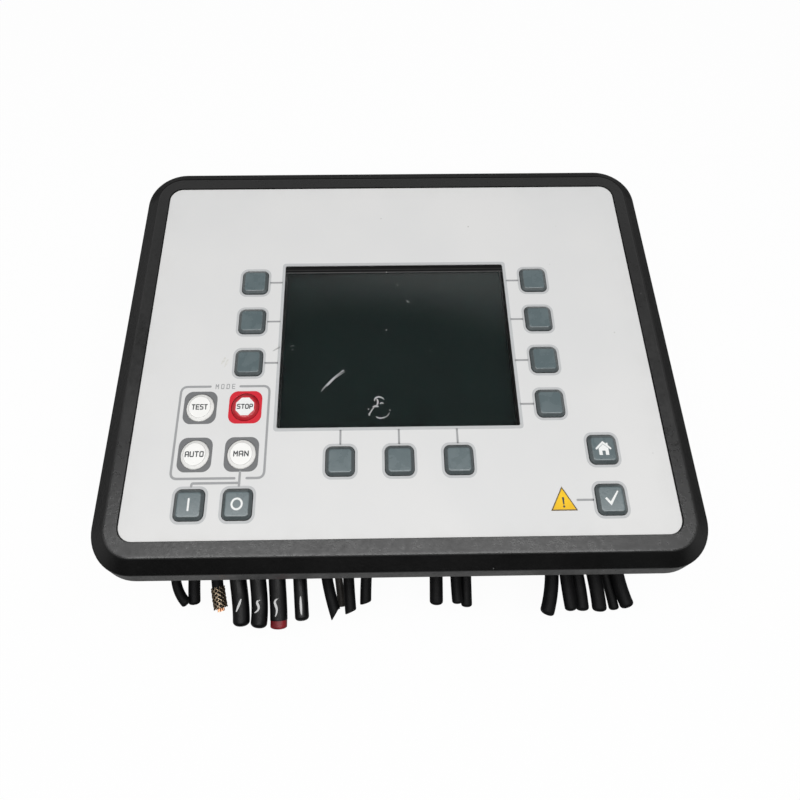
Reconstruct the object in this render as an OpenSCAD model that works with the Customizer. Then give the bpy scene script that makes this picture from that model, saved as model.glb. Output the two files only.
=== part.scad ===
// Panel-mounted genset controller, lying on its back with its front facing up.
// The origin is the centre of the rear face: +X to the right of the front, +Y to its top edge,
// +Z out of the front. The bezel clamps against the panel from the front, and the rear housing
// goes through the panel cut-out. Sizes are in millimetres.

/* [Front bezel] */
// Overall width of the bezel
bezel_w = 282; // [276:1:330]
// Overall height of the bezel
bezel_h = 217; // [212:1:260]
// Thickness of the bezel from the panel to its flat rim
bezel_t = 17; // [15.5:0.5:24]
// Corner radius of the bezel at the panel
bezel_r = 21.4; // [18:0.2:25]
// How far the side wall leans in towards the front
wall_draft = 1.1; // [0.4:0.1:2]
// Width of the chamfer round the front
chamfer_w = 6.8; // [4:0.2:7.4]
// Height of the chamfer round the front
chamfer_h = 5.2; // [3:0.1:8]
// Width of the flat rim round the overlay
rim_w = 6.6; // [4:0.2:8]
// Length of the easing on each side of the bezel's outer edges
edge_ease = 0.8; // [0.3:0.1:1.2]
// Thickness of the wall behind the overlay
front_wall_t = 2.9; // [2.4:0.1:4]

/* [Overlay and display] */
// Depth of the overlay's face below the flat rim
overlay_recess = 0.8; // [0.4:0.1:1.2]
// Thickness of the overlay film
overlay_t = 0.6; // [0.4:0.1:0.9]
// Gap round the overlay in its recess
overlay_gap = 0.45; // [0.2:0.05:0.6]
// Gap round a piece set flush into another
set_gap = 0.15; // [0.1:0.01:0.3]
// Distance from the bezel's sides to the display opening
window_side = 82.5; // [80:0.5:90]
// Distance from the bezel's top and bottom to the display opening
window_end = 64.5; // [62:0.5:72]
// Height of the display's centre above the bezel's centre
window_y = -0.4; // [-3:0.1:2]
// Corner radius of the display opening
window_r = 1; // [0.5:0.1:3]
// How far the clear pane reaches under the overlay
pane_lap = 2; // [1:0.1:3]
// Thickness of the clear pane
pane_t = 1.2; // [0.8:0.1:1.5]
// Thickness of the display module
lcd_t = 6; // [4.5:0.1:7]
// How far the display's frame reaches past the opening
lcd_border = 5; // [4:0.1:5.4]
// How far the display's frame shows inside the opening
lcd_lip = 1; // [0.5:0.1:3]
// Sheet thickness of the display's frame
lcd_sheet = 1.1; // [0.6:0.1:1.6]
// Distance from the centre of the alarm lens to its points
lens_r = 6.8; // [5:0.1:7.5]

/* [Keys] */
// Width of a square key, and diameter of a round one
key_w = 13.4; // [11:0.1:14.5]
// Corner radius of a square key
key_r = 2.7; // [2:0.1:4]
// Width of the slope round a key's top
key_slope = 1.5; // [0.6:0.05:1.6]
// Height of the slope round a key's top
key_slope_h = 1.3; // [0.8:0.1:1.6]
// Length of the easing on each side of a key's top edges
key_ease = 0.4; // [0.2:0.05:0.5]
// Height of a square key above the flat rim
key_proud = 1; // [0.6:0.1:2]
// Depth of a round key's top below a square one's
round_key_drop = 0.5; // [0:0.1:0.8]
// Gap round a key
key_gap = 0.3; // [0.2:0.05:0.5]
// Width of the flange that keeps a key in
key_flange_w = 1.2; // [0.8:0.1:1.6]
// Thickness of the flange that keeps a key in
key_flange_t = 1; // [0.8:0.1:1.5]
// Gap between a key's flange and the front wall
key_top_gap = 0.3; // [0.2:0.05:0.5]
// Distance from the overlay's lower edge to the lowest key row
key_row_low = 15.1; // [14.8:0.1:17]
// Distance between key rows
key_row_pitch = 22.5; // [20:0.1:22.6]
// Distance from the display opening to the keys beside it
key_column_gap = 15.6; // [15:0.1:19]
// Distance between key columns
key_column_pitch = 21.8; // [19:0.1:23]
// Distance from the display opening down to the keys under it
bottom_key_drop = 15.9; // [15.4:0.1:17.5]
// Distance between the keys under the display
bottom_key_pitch = 27.8; // [20:0.1:29]

/* [Key mat and keypad board] */
// Height of a spring bell on the key mat
bell_h = 2.5; // [2:0.1:3.5]
// Thickness of the key mat
mat_t = 1; // [0.8:0.1:1.5]
// Thickness of a circuit board
board_t = 1.6; // [1:0.1:2]
// Strip of the keypad board outside the case posts
keypad_web = 1.2; // [0.8:0.1:2]
// Gap round the display in the keypad board
lcd_gap = 1; // [0.6:0.1:1.4]
// Radius of the posts that carry the keypad board
post_r = 3; // [2.4:0.1:3.4]

/* [Panel mounting] */
// How far the bezel laps the panel at its short sides
panel_lap_x = 16.5; // [15.5:0.1:17.5]
// How far the bezel laps the panel at its long sides
panel_lap_y = 17; // [16:0.1:17.2]
// Gap between the rear housing and the panel cut-out
cutout_gap = 1; // [0.6:0.1:1.5]
// Wall between the gasket's groove and the inserts
insert_wall = 0.8; // [0.6:0.1:1.8]
// Distance from the bezel's short sides to the outer inserts of the long sides
insert_corner = 21; // [19:0.5:50]
// Distance from the centre line to the inner inserts of the long sides
insert_long_inner = 40; // [20:1:60]
// Distance from the centre line to the inserts of the short sides
insert_short = 40; // [20:1:70]
// Outer radius of a threaded insert
insert_r = 2.8; // [2.5:0.1:3]
// Radius of an insert's bore
insert_bore_r = 1.65; // [1.2:0.05:2]
// Length of an insert
insert_len = 8; // [5:0.5:10]
// Distance from the bezel's edge to the gasket
gasket_edge = 2.2; // [1.6:0.1:2.4]
// Width of the gasket
gasket_w = 2.5; // [1.5:0.1:2.6]
// Depth of the gasket's groove
groove_depth = 2; // [1:0.1:3]
// How far the gasket stands out of its groove
gasket_proud = 0.6; // [0.2:0.1:1]

/* [Rear housing] */
// Overall depth from the rear face to the tops of the keys
overall_depth = 99; // [95:1:120]
// Height of the narrow rear block
shoulder_z = 50; // [44:1:56]
// Size of the narrow rear block across the terminals
rear_block_h = 136; // [132:1:140]
// Wall thickness of the rear housing
housing_wall = 2.5; // [2:0.1:3]
// Corner radius of the rear housing
housing_r = 6; // [4.5:0.5:9]
// Chamfer round the outer edges of the rear housing
edge_chamfer = 1.5; // [0.6:0.1:2]
// How far the rear housing reaches into the bezel
socket_depth = 3; // [2:0.1:4]
// Width of a vent slot
vent_w = 2.4; // [1.5:0.1:3.5]
// Length of a vent slot
vent_len = 26; // [15:1:32]
// Distance between vent slots
vent_pitch = 7; // [5:0.5:9]
// Number of vent slots in each short side
vent_count = 11; // [5:2:13]
// Distance from the rear housing's short sides to the corner case screws
case_screw_side = 11.5; // [10.5:0.1:12]
// Distance from the rear housing's long sides to the case screws
case_screw_end = 11; // [9.5:0.1:11.5]
// Radius of a case screw's shank
case_screw_r = 1.5; // [1.2:0.1:1.8]
// Radius of a case screw's post
case_post_r = 4; // [3.6:0.1:4.5]
// Gap between a screw and its hole
screw_gap = 0.1; // [0.05:0.01:0.2]

/* [Terminals] */
// Distance between terminal poles
pole_pitch = 5.08; // [4.8:0.01:5.1]
// Number of plugs on each long side
plug_count = 5; // [3:2:5]
// Room at each end of a row of plugs
plug_margin = 4; // [2:0.1:5]
// Wall at each end of a plug, beside its outer poles
plug_end = 0.6; // [0.4:0.1:0.9]
// Gap between neighbouring plugs
plug_gap = 0.8; // [0.4:0.1:1]
// Depth of a plug outside its header
plug_depth = 10.5; // [8:0.5:12]
// Height of a plug
plug_h = 12; // [10:0.5:14]
// Height of a header
header_h = 14; // [13:0.5:17]
// Wall thickness of a header
header_wall = 1.2; // [0.8:0.1:1.6]
// How far a header stands out of the rear housing
header_proud = 1.5; // [0.5:0.1:3]
// Depth of the socket in a header
header_socket = 8; // [6:0.5:9]
// Gap round a plug's nose in its header
plug_fit = 0.3; // [0.2:0.05:0.5]
// Radius of a wire entry
entry_r = 1.6; // [1.2:0.1:2]
// Depth of a wire entry
entry_depth = 7; // [4:0.5:9]
// Radius of a terminal screw
terminal_screw_r = 1.7; // [1.4:0.1:1.9]
// Height of a terminal screw's head
terminal_screw_h = 2.4; // [1.5:0.1:3]

/* [Main board] */
// Height of the main board above the housing's floor
main_board_lift = 17.5; // [12:0.5:20]
// Gap between the main board and the housing's walls
main_board_gap = 3; // [2:0.5:5]
// Distance from the rear housing's short sides to the outer board screws
main_screw_side = 18.5; // [16:0.5:24]
// Distance from the centre line to the outer board screws across the terminals
main_screw_y = 40; // [36:0.5:42]
// How far a board screw reaches below the board
main_screw_bite = 8; // [5:0.5:10]
// Size of a relay, its length, width and height
relay_size = [15, 10, 16]; // [8:1:18]
// Distance between relays
relay_pitch = 20; // [18.5:0.5:21]
// Distance from the centre line to the row of relays
relay_y = 22; // [14:1:26]
// Number of relays
relay_count = 9; // [5:2:9]
// Width of the ribbon cable
ribbon_w = 40; // [20:1:50]
// Thickness of the ribbon cable
ribbon_t = 0.9; // [0.6:0.1:1.2]
// Distance from the terminal headers to the ribbon connector on the main board
ribbon_room = 10; // [4:0.5:14]
// Height of a ribbon connector
connector_h = 8; // [6:0.5:10]
// Depth of a ribbon connector
connector_d = 6; // [4:0.5:6.5]
// Width of the earth blade
earth_w = 6.3; // [4.8:0.1:6.3]
// Thickness of the earth blade
earth_t = 0.8; // [0.5:0.1:1]
// Length of the earth blade
earth_len = 9; // [7:0.5:12]

/* [Hidden] */
$fn = 48;
EPS = 0.01;

// Levels from the rear face up to the tops of the keys
rim_z = overall_depth - key_proud;
overlay_z = rim_z - overlay_recess;
wall_top_z = overlay_z - overlay_t;
wall_low_z = wall_top_z - front_wall_t;
flange_z = rim_z - bezel_t;
ledge_z = flange_z + socket_depth;
key_flange_z = wall_low_z - key_top_gap - key_flange_t;
mat_z = key_flange_z - bell_h - mat_t;
keypad_z = mat_z - board_t;
main_board_z = housing_wall + main_board_lift;
main_top_z = main_board_z + board_t;

// Outlines that follow from the bezel and the panel cut-out
rim_inset = wall_draft + chamfer_w + rim_w;
overlay_w = bezel_w - 2 * rim_inset;
overlay_h = bezel_h - 2 * rim_inset;
overlay_r = bezel_r - rim_inset;
cutout_w = bezel_w - 2 * panel_lap_x;
cutout_h = bezel_h - 2 * panel_lap_y;
housing_w = cutout_w - 2 * cutout_gap;
housing_h = cutout_h - 2 * cutout_gap;
inner_w = housing_w - 2 * housing_wall;
inner_h = housing_h - 2 * housing_wall;
inner_r = housing_r - housing_wall;
socket_gap = 0.5;
block_inner_h = rear_block_h - 2 * housing_wall;

// The display opening
window_w = bezel_w - 2 * window_side;
window_h = bezel_h - 2 * window_end;

// Keys: name, place and whether round
key_rows = 6;
key_row_y = key_row_low - overlay_h / 2 + (key_rows - 1) * key_row_pitch;
key_column_x = window_w / 2 + key_column_gap;
bottom_key_y = window_h / 2 - window_y + bottom_key_drop;
key_outer_x = key_column_x + key_column_pitch;
function row_y(i) = key_row_y - i * key_row_pitch;
KEYS = [
  ["key_left_1", -key_column_x, row_y(0), false],
  ["key_left_2", -key_column_x, row_y(1), false],
  ["key_left_3", -key_column_x, row_y(2), false],
  ["key_right_1", key_column_x, row_y(0), false],
  ["key_right_2", key_column_x, row_y(1), false],
  ["key_right_3", key_column_x, row_y(2), false],
  ["key_right_4", key_column_x, row_y(3), false],
  ["key_bottom_1", -bottom_key_pitch, -bottom_key_y, false],
  ["key_bottom_2", 0, -bottom_key_y, false],
  ["key_bottom_3", bottom_key_pitch, -bottom_key_y, false],
  ["key_home", key_outer_x, row_y(4), false],
  ["key_check", key_outer_x, row_y(5), false],
  ["key_close", -key_outer_x, row_y(5), false],
  ["key_open", -key_column_x, row_y(5), false],
  ["key_test", -key_outer_x, row_y(3), true],
  ["key_stop", -key_column_x, row_y(3), true],
  ["key_auto", -key_outer_x, row_y(4), true],
  ["key_manual", -key_column_x, row_y(4), true]
];
lens_x = key_column_x;
lens_y = row_y(5) - 1;
lens_light_r = lens_r / 4;

// Posts of the keypad board, on the bezel's front wall
key_reach = key_w / 2 + key_flange_w;
mat_edge = 0.8;
mat_x = key_outer_x + key_reach + mat_edge;
post_x = mat_x + post_r + 1;
post_in_x = bottom_key_pitch + key_reach + post_r + 1;
case_screw_x = housing_w / 2 - case_screw_side;
case_screw_y = housing_h / 2 - case_screw_end;
keypad_margin = case_post_r + lcd_gap + keypad_web;
keypad_w = 2 * (case_screw_x + keypad_margin);
keypad_h = 2 * (case_screw_y + keypad_margin);
lcd_w = window_w + 2 * lcd_border;
lcd_h = window_h + 2 * lcd_border;
post_high_y = (window_y + lcd_h / 2 + keypad_h / 2) / 2 + 4;
post_low_y = keypad_h / 2 - 3.5 * post_r;
POSTS = [
  for (s = [-1, 1]) [s * post_x, key_row_y + post_r + key_reach + 8],
  for (s = [-1, 1]) [s * post_x, row_y(3) - key_row_pitch / 2],
  for (s = [-1, 1]) [s * post_in_x, post_high_y],
  for (s = [-1, 1]) [s * post_in_x, -post_low_y]
];
small_screw_r = 1.1;
small_head_r = 2.2;
small_head_h = 1.6;

// Case screws, through the housing's shoulder into the bezel
CASE_SCREWS = [for (x = [-case_screw_x, 0, case_screw_x], y = [-case_screw_y, case_screw_y]) [x, y]];
case_head_r = 2 * case_screw_r;
case_head_h = 2.4;
case_head_well = 3;
case_bite = 7;

// Inserts on the flange
insert_edge = gasket_edge + gasket_w + set_gap + insert_wall + insert_r + screw_gap / 2;
insert_y = bezel_h / 2 - insert_edge;
insert_x = bezel_w / 2 - insert_edge;
insert_long_outer = bezel_w / 2 - insert_corner;
INSERTS = [
  for (x = [insert_long_inner, insert_long_outer], sx = [-1, 1], sy = [-1, 1]) [sx * x, sy * insert_y],
  for (sx = [-1, 1], sy = [-1, 1]) [sx * insert_x, sy * insert_short]
];

// Terminals: as many poles in a plug as the housing's width holds
plug_room = (housing_w - 2 * plug_margin + plug_gap) / plug_count - plug_gap;
poles = floor((plug_room - 2 * plug_end) / pole_pitch);
plug_w = poles * pole_pitch + 2 * plug_end;
plug_pitch = plug_w + plug_gap;
header_face_y = rear_block_h / 2 + header_proud;
plug_face_y = header_face_y + plug_depth;
plug_z = main_top_z + (header_h - plug_h) / 2;
entry_z = plug_z + plug_h / 2;
nose_len = header_socket - 1;
screw_well = terminal_screw_h + 0.6;
function plug_x(i) = (i - (plug_count - 1) / 2) * plug_pitch;
function pole_x(j) = (j - (poles - 1) / 2) * pole_pitch;

// Main board
main_w = inner_w - 2 * main_board_gap;
main_h = block_inner_h - main_board_gap;
main_screw_x = housing_w / 2 - main_screw_side;
MAIN_SCREWS = [
  for (x = [-main_screw_x, main_screw_x], y = [-main_screw_y, main_screw_y]) [x, y],
  [0, -main_screw_y]
];
main_screw_r = 1.3;
main_head_r = 2.6;
main_head_h = 2;
main_post_r = 3.5;
keypad_connector_y = window_y + lcd_h / 2 + lcd_gap + 1 + connector_d / 2;
main_connector_y = header_face_y - header_socket - header_wall - ribbon_room - connector_d / 2;
earth_y = rear_block_h / 2 - 16;
earth_z = 12;
earth_foot = 10;

// Wire stubs: outer diameter, plug, pole, and a hand-chosen route from the pole's entry to the cut
// end, as steps to the right, out of the plug and up
WIRES = [
  [4.2, 0, 0, [[0, 0, 0], [-0.8, 10, -0.6], [0.2, 24, -1.6], [6.8, 34.6, -1.6]]],
  [5.4, 0, 2, [[0, 0, 0], [-0.8, 10, -0.6], [-0.9, 24, -3.6], [-0.1, 34.5, -5.8]]],
  [6.0, 0, 4, [[0, 0, 0], [0, 10, 0.4], [1.6, 24, 0.4], [4.6, 37.2, -0.6]]],
  [7.4, 0, 6, [[0, 0, 0], [0.3, 12, 1.4], [3.1, 28, 0.4], [5, 44.6, -3.6]]],
  [7.4, 0, 8, [[0, 0, 0], [0.5, 12, 1.8], [3.1, 28, 0.8], [3.8, 45.6, -2.6]]],
  [7.6, 1, 1, [[0, 0, 0], [-0.6, 12, 1.4], [0.6, 28, 0], [1.8, 46.2, -3.6]]],
  [6.8, 1, 3, [[0, 0, 0], [0.8, 12, 0.4], [2.2, 28, -0.6], [3.6, 42.8, -1.6]]],
  [5.8, 1, 6, [[0, 0, 0], [-0.8, 10, 1.4], [1, 25, 2.8], [5.6, 40.8, 2.4]]],
  [4.0, 1, 7, [[0, 0, 0], [-0.1, 10, -1.6], [1.5, 24, -4.2], [3.1, 37.2, -6.2]]],
  [5.8, 1, 8, [[0, 0, 0], [0.8, 10, 0.4], [1.8, 25, 0.4], [3, 40, -0.6]]],
  [5.8, 2, 1, [[0, 0, 0], [-0.4, 10, 0.4], [-1.2, 24, -0.6], [-1.6, 35.8, -2.6]]],
  [6.0, 2, 8, [[0, 0, 0], [0.1, 10, -0.6], [-0.2, 24, -1.6], [-0.6, 36.4, -3.6]]],
  [4.8, 3, 1, [[0, 0, 0], [-1.5, 10, 0.4], [-2.3, 24, 0.4], [-2, 36.2, -0.6]]],
  [4.8, 3, 2, [[0, 0, 0], [-1, 10, -0.6], [-1.8, 24, -2.2], [-2.2, 37.6, -4]]],
  [5.6, 4, 1, [[0, 0, 0], [1.2, 12, -0.6], [0.4, 26, -1.6], [-4.1, 41.8, -2.6]]],
  [4.4, 4, 2, [[0, 0, 0], [1.3, 10, 1.4], [1.9, 25, 2], [2.9, 40.2, 0.4]]],
  [5.4, 4, 3, [[0, 0, 0], [2, 10, -0.6], [4.2, 25, -2.6], [4.6, 40.2, -3.6]]],
  [5.6, 4, 5, [[0, 0, 0], [0.4, 10, 0.4], [1.8, 25, 0.4], [2.4, 40.8, -0.6]]],
  [4.4, 4, 6, [[0, 0, 0], [1.2, 10, -0.6], [3.8, 25, -2.6], [5.8, 40, -3.6]]],
  [6.4, 4, 8, [[0, 0, 0], [-1.2, 10, 0.4], [-1.2, 25, 0.4], [1.5, 39.2, 0.4]]]
];
full_poles = 9;
function wire_entry_x(w) = plug_x(w[1]) + pole_x(round(w[2] * (poles - 1) / (full_poles - 1)));
function wire_route(w) =
  [for (p = w[3]) [wire_entry_x(w) + p[0], -plug_face_y - p[1], entry_z + p[2]]];
wire_sides = 8;
function wire_name(i) = str("wire_", i < 9 ? "0" : "", i + 1);

// A profile with its inner corners eased: each becomes a short curve that starts and ends at a
// set distance from the corner
ease_steps = 3;
function eased(p, d) = [
  p[0],
  for (i = [1:len(p) - 2])
    each eased_corner(p[i], p[i] + d * unit(p[i - 1] - p[i]), p[i] + d * unit(p[i + 1] - p[i])),
  p[len(p) - 1]
];
function eased_corner(c, a, b) = [
  for (i = [0:ease_steps])
    let (t = i / ease_steps) (1 - t) * (1 - t) * a + 2 * t * (1 - t) * c + t * t * b
];

// A block with round corners whose edge follows a profile of [inset, height] pairs, low to high
module profiled_block(w, h, r, profile) {
  low = profile[0][1];
  high = profile[len(profile) - 1][1];
  quarter = concat([[0, low]], [for (p = profile) [r - p[0], p[1]]], [[0, high]]);
  for (sx = [0, 1], sy = [0, 1])
    mirror([sx, 0, 0]) mirror([0, sy, 0])
      translate([w / 2 - r, h / 2 - r, 0])
        rotate_extrude(angle = 90) polygon(quarter);
  profiled_bar(w, h - 2 * r, profile);
  rotate([0, 0, 90]) profiled_bar(h, w - 2 * r, profile);
}

// A straight bar along Y whose two long edges follow the profile
module profiled_bar(w, length, profile) {
  side = [for (p = profile) [w / 2 - p[0], p[1]]];
  other = [for (i = [len(profile) - 1:-1:0]) [profile[i][0] - w / 2, profile[i][1]]];
  translate([0, length / 2, 0])
    rotate([90, 0, 0]) linear_extrude(length) polygon(concat(side, other));
}

// A disc whose edge follows the profile
module profiled_disc(r, profile) {
  low = profile[0][1];
  high = profile[len(profile) - 1][1];
  rotate_extrude() polygon(concat([[0, low]], [for (p = profile) [r - p[0], p[1]]], [[0, high]]));
}

// A plain block with round corners between two levels
module round_block(w, h, r, low, high) {
  profiled_block(w, h, r, [[0, low], [0, high]]);
}

// A plain centred block between two levels
module plain_block(w, h, low, high) {
  translate([-w / 2, -h / 2, low]) cube([w, h, high - low]);
}

// A round pin or hole between two levels
module pin(r, low, high) {
  translate([0, 0, low]) cylinder(r = r, h = high - low);
}

module at(places) {
  for (p = places) translate([p[0], p[1], 0]) children();
}

// The same pieces on the lower long side and, turned round, on the upper one
module both_long_sides() {
  for (turn = [0, 180]) rotate([0, 0, turn]) children();
}

// A key's outline between two levels, grown by a margin
module key_outline(k, grow, low, high) {
  translate([k[1], k[2], 0])
    if (k[3]) pin(key_w / 2 + grow, low, high);
    else round_block(key_w + 2 * grow, key_w + 2 * grow, key_r + grow, low, high);
}

// The alarm lens's triangle with its point up, grown by a margin
module lens_outline(grow, low, high) {
  translate([lens_x, lens_y, low])
    rotate([0, 0, 90]) cylinder(r = lens_r + 2 * grow, h = high - low, $fn = 3);
}

module window_outline(grow, low, high) {
  translate([0, window_y, 0])
    round_block(window_w + 2 * grow, window_h + 2 * grow, window_r + max(grow, 0), low, high);
}

module front_bezel() {
  edge = eased([
    [0, flange_z],
    [wall_draft, rim_z - chamfer_h],
    [wall_draft + chamfer_w, rim_z],
    [wall_draft + chamfer_w + rim_w / 2, rim_z]
  ], edge_ease);
  color([0.10, 0.10, 0.11])
    difference() {
      union() {
        difference() {
          profiled_block(bezel_w, bezel_h, bezel_r, edge);
          round_block(inner_w, inner_h, inner_r, flange_z - EPS, wall_low_z);
        }
        at(POSTS) pin(post_r, mat_z, wall_low_z + EPS);
        at(CASE_SCREWS) pin(case_post_r, ledge_z, wall_low_z + EPS);
      }
      round_block(overlay_w + 2 * overlay_gap, overlay_h + 2 * overlay_gap, overlay_r + overlay_gap,
                  wall_top_z, rim_z + EPS);
      window_outline(0, wall_low_z - EPS, wall_top_z + EPS);
      window_outline(pane_lap + set_gap, wall_top_z - pane_t, wall_top_z + EPS);
      for (k = KEYS) key_outline(k, key_gap, wall_low_z - EPS, wall_top_z + EPS);
      at([[lens_x, lens_y]]) pin(lens_light_r, wall_low_z - EPS, wall_top_z + EPS);
      round_block(housing_w + 2 * socket_gap, housing_h + 2 * socket_gap, housing_r + socket_gap,
                  flange_z - EPS, ledge_z);
      at(INSERTS) pin(insert_r + screw_gap / 2, flange_z - EPS, flange_z + insert_len);
      gasket_ring(set_gap, flange_z - EPS, flange_z + groove_depth);
      at(POSTS) pin(small_screw_r + screw_gap, mat_z - EPS, wall_low_z);
      at(CASE_SCREWS) pin(case_screw_r + screw_gap, ledge_z - EPS, ledge_z + case_bite + 1);
    }
}

// The gasket's ring between two levels, with a gap to each side
module gasket_ring(gap, low, high) {
  out = gasket_edge - gap;
  in = gasket_edge + gasket_w + gap;
  difference() {
    round_block(bezel_w - 2 * out, bezel_h - 2 * out, bezel_r - out, low, high);
    round_block(bezel_w - 2 * in, bezel_h - 2 * in, bezel_r - in, low - EPS, high + EPS);
  }
}

module front_overlay() {
  color([0.87, 0.87, 0.87])
    difference() {
      round_block(overlay_w, overlay_h, overlay_r, wall_top_z, overlay_z);
      window_outline(0, wall_top_z - EPS, overlay_z + EPS);
      for (k = KEYS) key_outline(k, key_gap, wall_top_z - EPS, overlay_z + EPS);
      lens_outline(set_gap, wall_top_z - EPS, overlay_z + EPS);
    }
}

module display_window() {
  color([0.6, 0.65, 0.65, 0.4]) window_outline(pane_lap, wall_top_z - pane_t, wall_top_z);
}

module alarm_lens() {
  color([0.94, 0.78, 0.25]) lens_outline(0, wall_top_z, overlay_z);
}

module lcd_frame() {
  color([0.7, 0.7, 0.68])
    translate([0, window_y, 0])
      difference() {
        plain_block(lcd_w, lcd_h, wall_low_z - lcd_t, wall_low_z);
        plain_block(lcd_w - 2 * lcd_sheet, lcd_h - 2 * lcd_sheet,
                    wall_low_z - lcd_t - EPS, wall_low_z - lcd_sheet);
        plain_block(window_w - 2 * lcd_lip, window_h - 2 * lcd_lip,
                    wall_low_z - lcd_t, wall_low_z + EPS);
      }
}

module lcd_panel() {
  fit = lcd_sheet + set_gap;
  color([0.10, 0.13, 0.12])
    translate([0, window_y, 0])
      plain_block(lcd_w - 2 * fit, lcd_h - 2 * fit, wall_low_z - lcd_t + 0.5, wall_low_z - lcd_sheet);
}

// One push key: a shank through the front wall, a sloped top, and a flange under the wall
module push_key(k) {
  top = overall_depth - (k[3] ? round_key_drop : 0);
  edge = eased([
    [0, key_flange_z],
    [0, top - key_slope_h],
    [key_slope, top],
    [key_slope + 2 * key_ease, top]
  ], key_ease);
  color(k[0] == "key_stop" ? [0.62, 0.09, 0.12] : k[3] ? [0.95, 0.95, 0.92] : [0.40, 0.45, 0.47]) {
    key_outline(k, key_flange_w, key_flange_z, key_flange_z + key_flange_t);
    translate([k[1], k[2], 0])
      if (k[3]) profiled_disc(key_w / 2, edge);
      else profiled_block(key_w, key_w, key_r, edge);
  }
}

// The mat lies on the keypad board and goes round the display, with a hollow bell under each key
module key_mat() {
  bell_low = key_w / 2;
  bell_top = key_w / 3;
  skin = 0.8;
  mat_low_y = max(row_y(5) - key_reach - mat_edge, set_gap - inner_h / 2);
  mat_high_y = key_row_y + key_reach + mat_edge;
  mat_bottom_y = -bottom_key_y - key_reach - mat_edge;
  hole_x = lcd_w / 2 + lcd_gap;
  hole_y = window_y - lcd_h / 2 - lcd_gap;
  color([0.75, 0.75, 0.73])
    difference() {
      union() {
        for (s = [-1, 1]) {
          x = s > 0 ? hole_x : -mat_x;
          translate([x, mat_low_y, mat_z]) cube([mat_x - hole_x, mat_high_y - mat_low_y, mat_t]);
        }
        translate([-hole_x, mat_bottom_y, mat_z]) cube([2 * hole_x, hole_y - mat_bottom_y, mat_t]);
        at([for (k = KEYS) [k[1], k[2]]])
          translate([0, 0, mat_z + mat_t]) cylinder(r1 = bell_low, r2 = bell_top, h = bell_h);
      }
      at([for (k = KEYS) [k[1], k[2]]])
        translate([0, 0, mat_z - EPS])
          cylinder(r1 = bell_low - skin, r2 = bell_top - skin, h = mat_t + bell_h - skin);
      at(CASE_SCREWS) pin(case_post_r + lcd_gap, mat_z - EPS, mat_z + mat_t + EPS);
      at(POSTS) pin(post_r + lcd_gap, mat_z - EPS, mat_z + mat_t + EPS);
    }
}

module keypad_board() {
  color([0.10, 0.32, 0.18])
    difference() {
      plain_block(keypad_w, keypad_h, keypad_z, mat_z);
      translate([0, window_y, 0])
        plain_block(lcd_w + 2 * lcd_gap, lcd_h + 2 * lcd_gap, keypad_z - EPS, mat_z + EPS);
      at(POSTS) pin(small_screw_r + screw_gap, keypad_z - EPS, mat_z + EPS);
      at(CASE_SCREWS) pin(case_post_r + lcd_gap, keypad_z - EPS, mat_z + EPS);
    }
}

module keypad_screws() {
  color([0.75, 0.75, 0.78])
    at(POSTS) {
      pin(small_head_r, keypad_z - small_head_h, keypad_z);
      pin(small_screw_r, keypad_z - EPS, wall_low_z - 1);
    }
}

module main_board() {
  color([0.08, 0.28, 0.16])
    difference() {
      plain_block(main_w, main_h, main_board_z, main_top_z);
      at(MAIN_SCREWS) pin(main_screw_r + screw_gap, main_board_z - EPS, main_top_z + EPS);
    }
}

module main_board_screws() {
  color([0.75, 0.75, 0.78])
    at(MAIN_SCREWS) {
      pin(main_head_r, main_top_z, main_top_z + main_head_h);
      pin(main_screw_r, main_board_z - main_screw_bite, main_top_z + EPS);
    }
}

module relays() {
  color([0.85, 0.62, 0.20])
    for (i = [0:relay_count - 1])
      translate([(i - (relay_count - 1) / 2) * relay_pitch, -relay_y, main_top_z])
        translate([-relay_size[0] / 2, -relay_size[1] / 2, 0]) cube(relay_size);
}

module board_connectors() {
  color([0.12, 0.12, 0.12])
    {
      translate([0, main_connector_y, 0])
        plain_block(ribbon_w + 4, connector_d, main_top_z, main_top_z + connector_h);
      translate([0, keypad_connector_y, 0])
        plain_block(ribbon_w + 4, connector_d, keypad_z - connector_h, keypad_z);
    }
}

// A flat cable that leans from the main board's connector to the keypad board's
module ribbon_cable() {
  low = main_top_z + connector_h;
  high = keypad_z - connector_h;
  side = ribbon_t / 2;
  color([0.62, 0.62, 0.62])
    translate([-ribbon_w / 2, 0, 0])
      rotate([90, 0, 90])
        linear_extrude(ribbon_w)
          polygon([
            [main_connector_y - side, low],
            [main_connector_y + side, low],
            [keypad_connector_y + side, high],
            [keypad_connector_y - side, high]
          ]);
}

module rear_housing() {
  c = edge_chamfer;
  color([0.13, 0.13, 0.14])
    difference() {
      union() {
        difference() {
          union() {
            profiled_block(housing_w, housing_h, housing_r,
                           [[c, shoulder_z], [0, shoulder_z + c], [0, ledge_z]]);
            profiled_block(housing_w, rear_block_h, housing_r,
                           [[c, 0], [0, c], [0, shoulder_z + 2 * c]]);
          }
          round_block(inner_w, inner_h, inner_r, shoulder_z + housing_wall, ledge_z + EPS);
          round_block(inner_w, block_inner_h, inner_r, housing_wall, shoulder_z + 2 * housing_wall);
        }
        at(CASE_SCREWS) pin(case_post_r, shoulder_z + EPS, ledge_z);
        at(MAIN_SCREWS) pin(main_post_r, EPS, main_board_z);
      }
      at(CASE_SCREWS) {
        pin(case_head_r + 2 * screw_gap, shoulder_z - EPS, shoulder_z + case_head_well);
        pin(case_screw_r + screw_gap, shoulder_z - EPS, ledge_z + EPS);
      }
      at(MAIN_SCREWS) pin(main_screw_r + screw_gap, main_board_z - main_screw_bite - 1, main_board_z + EPS);
      both_long_sides() header_windows();
      for (turn = [0, 180]) rotate([0, 0, turn]) vent_row();
    }
}

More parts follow.
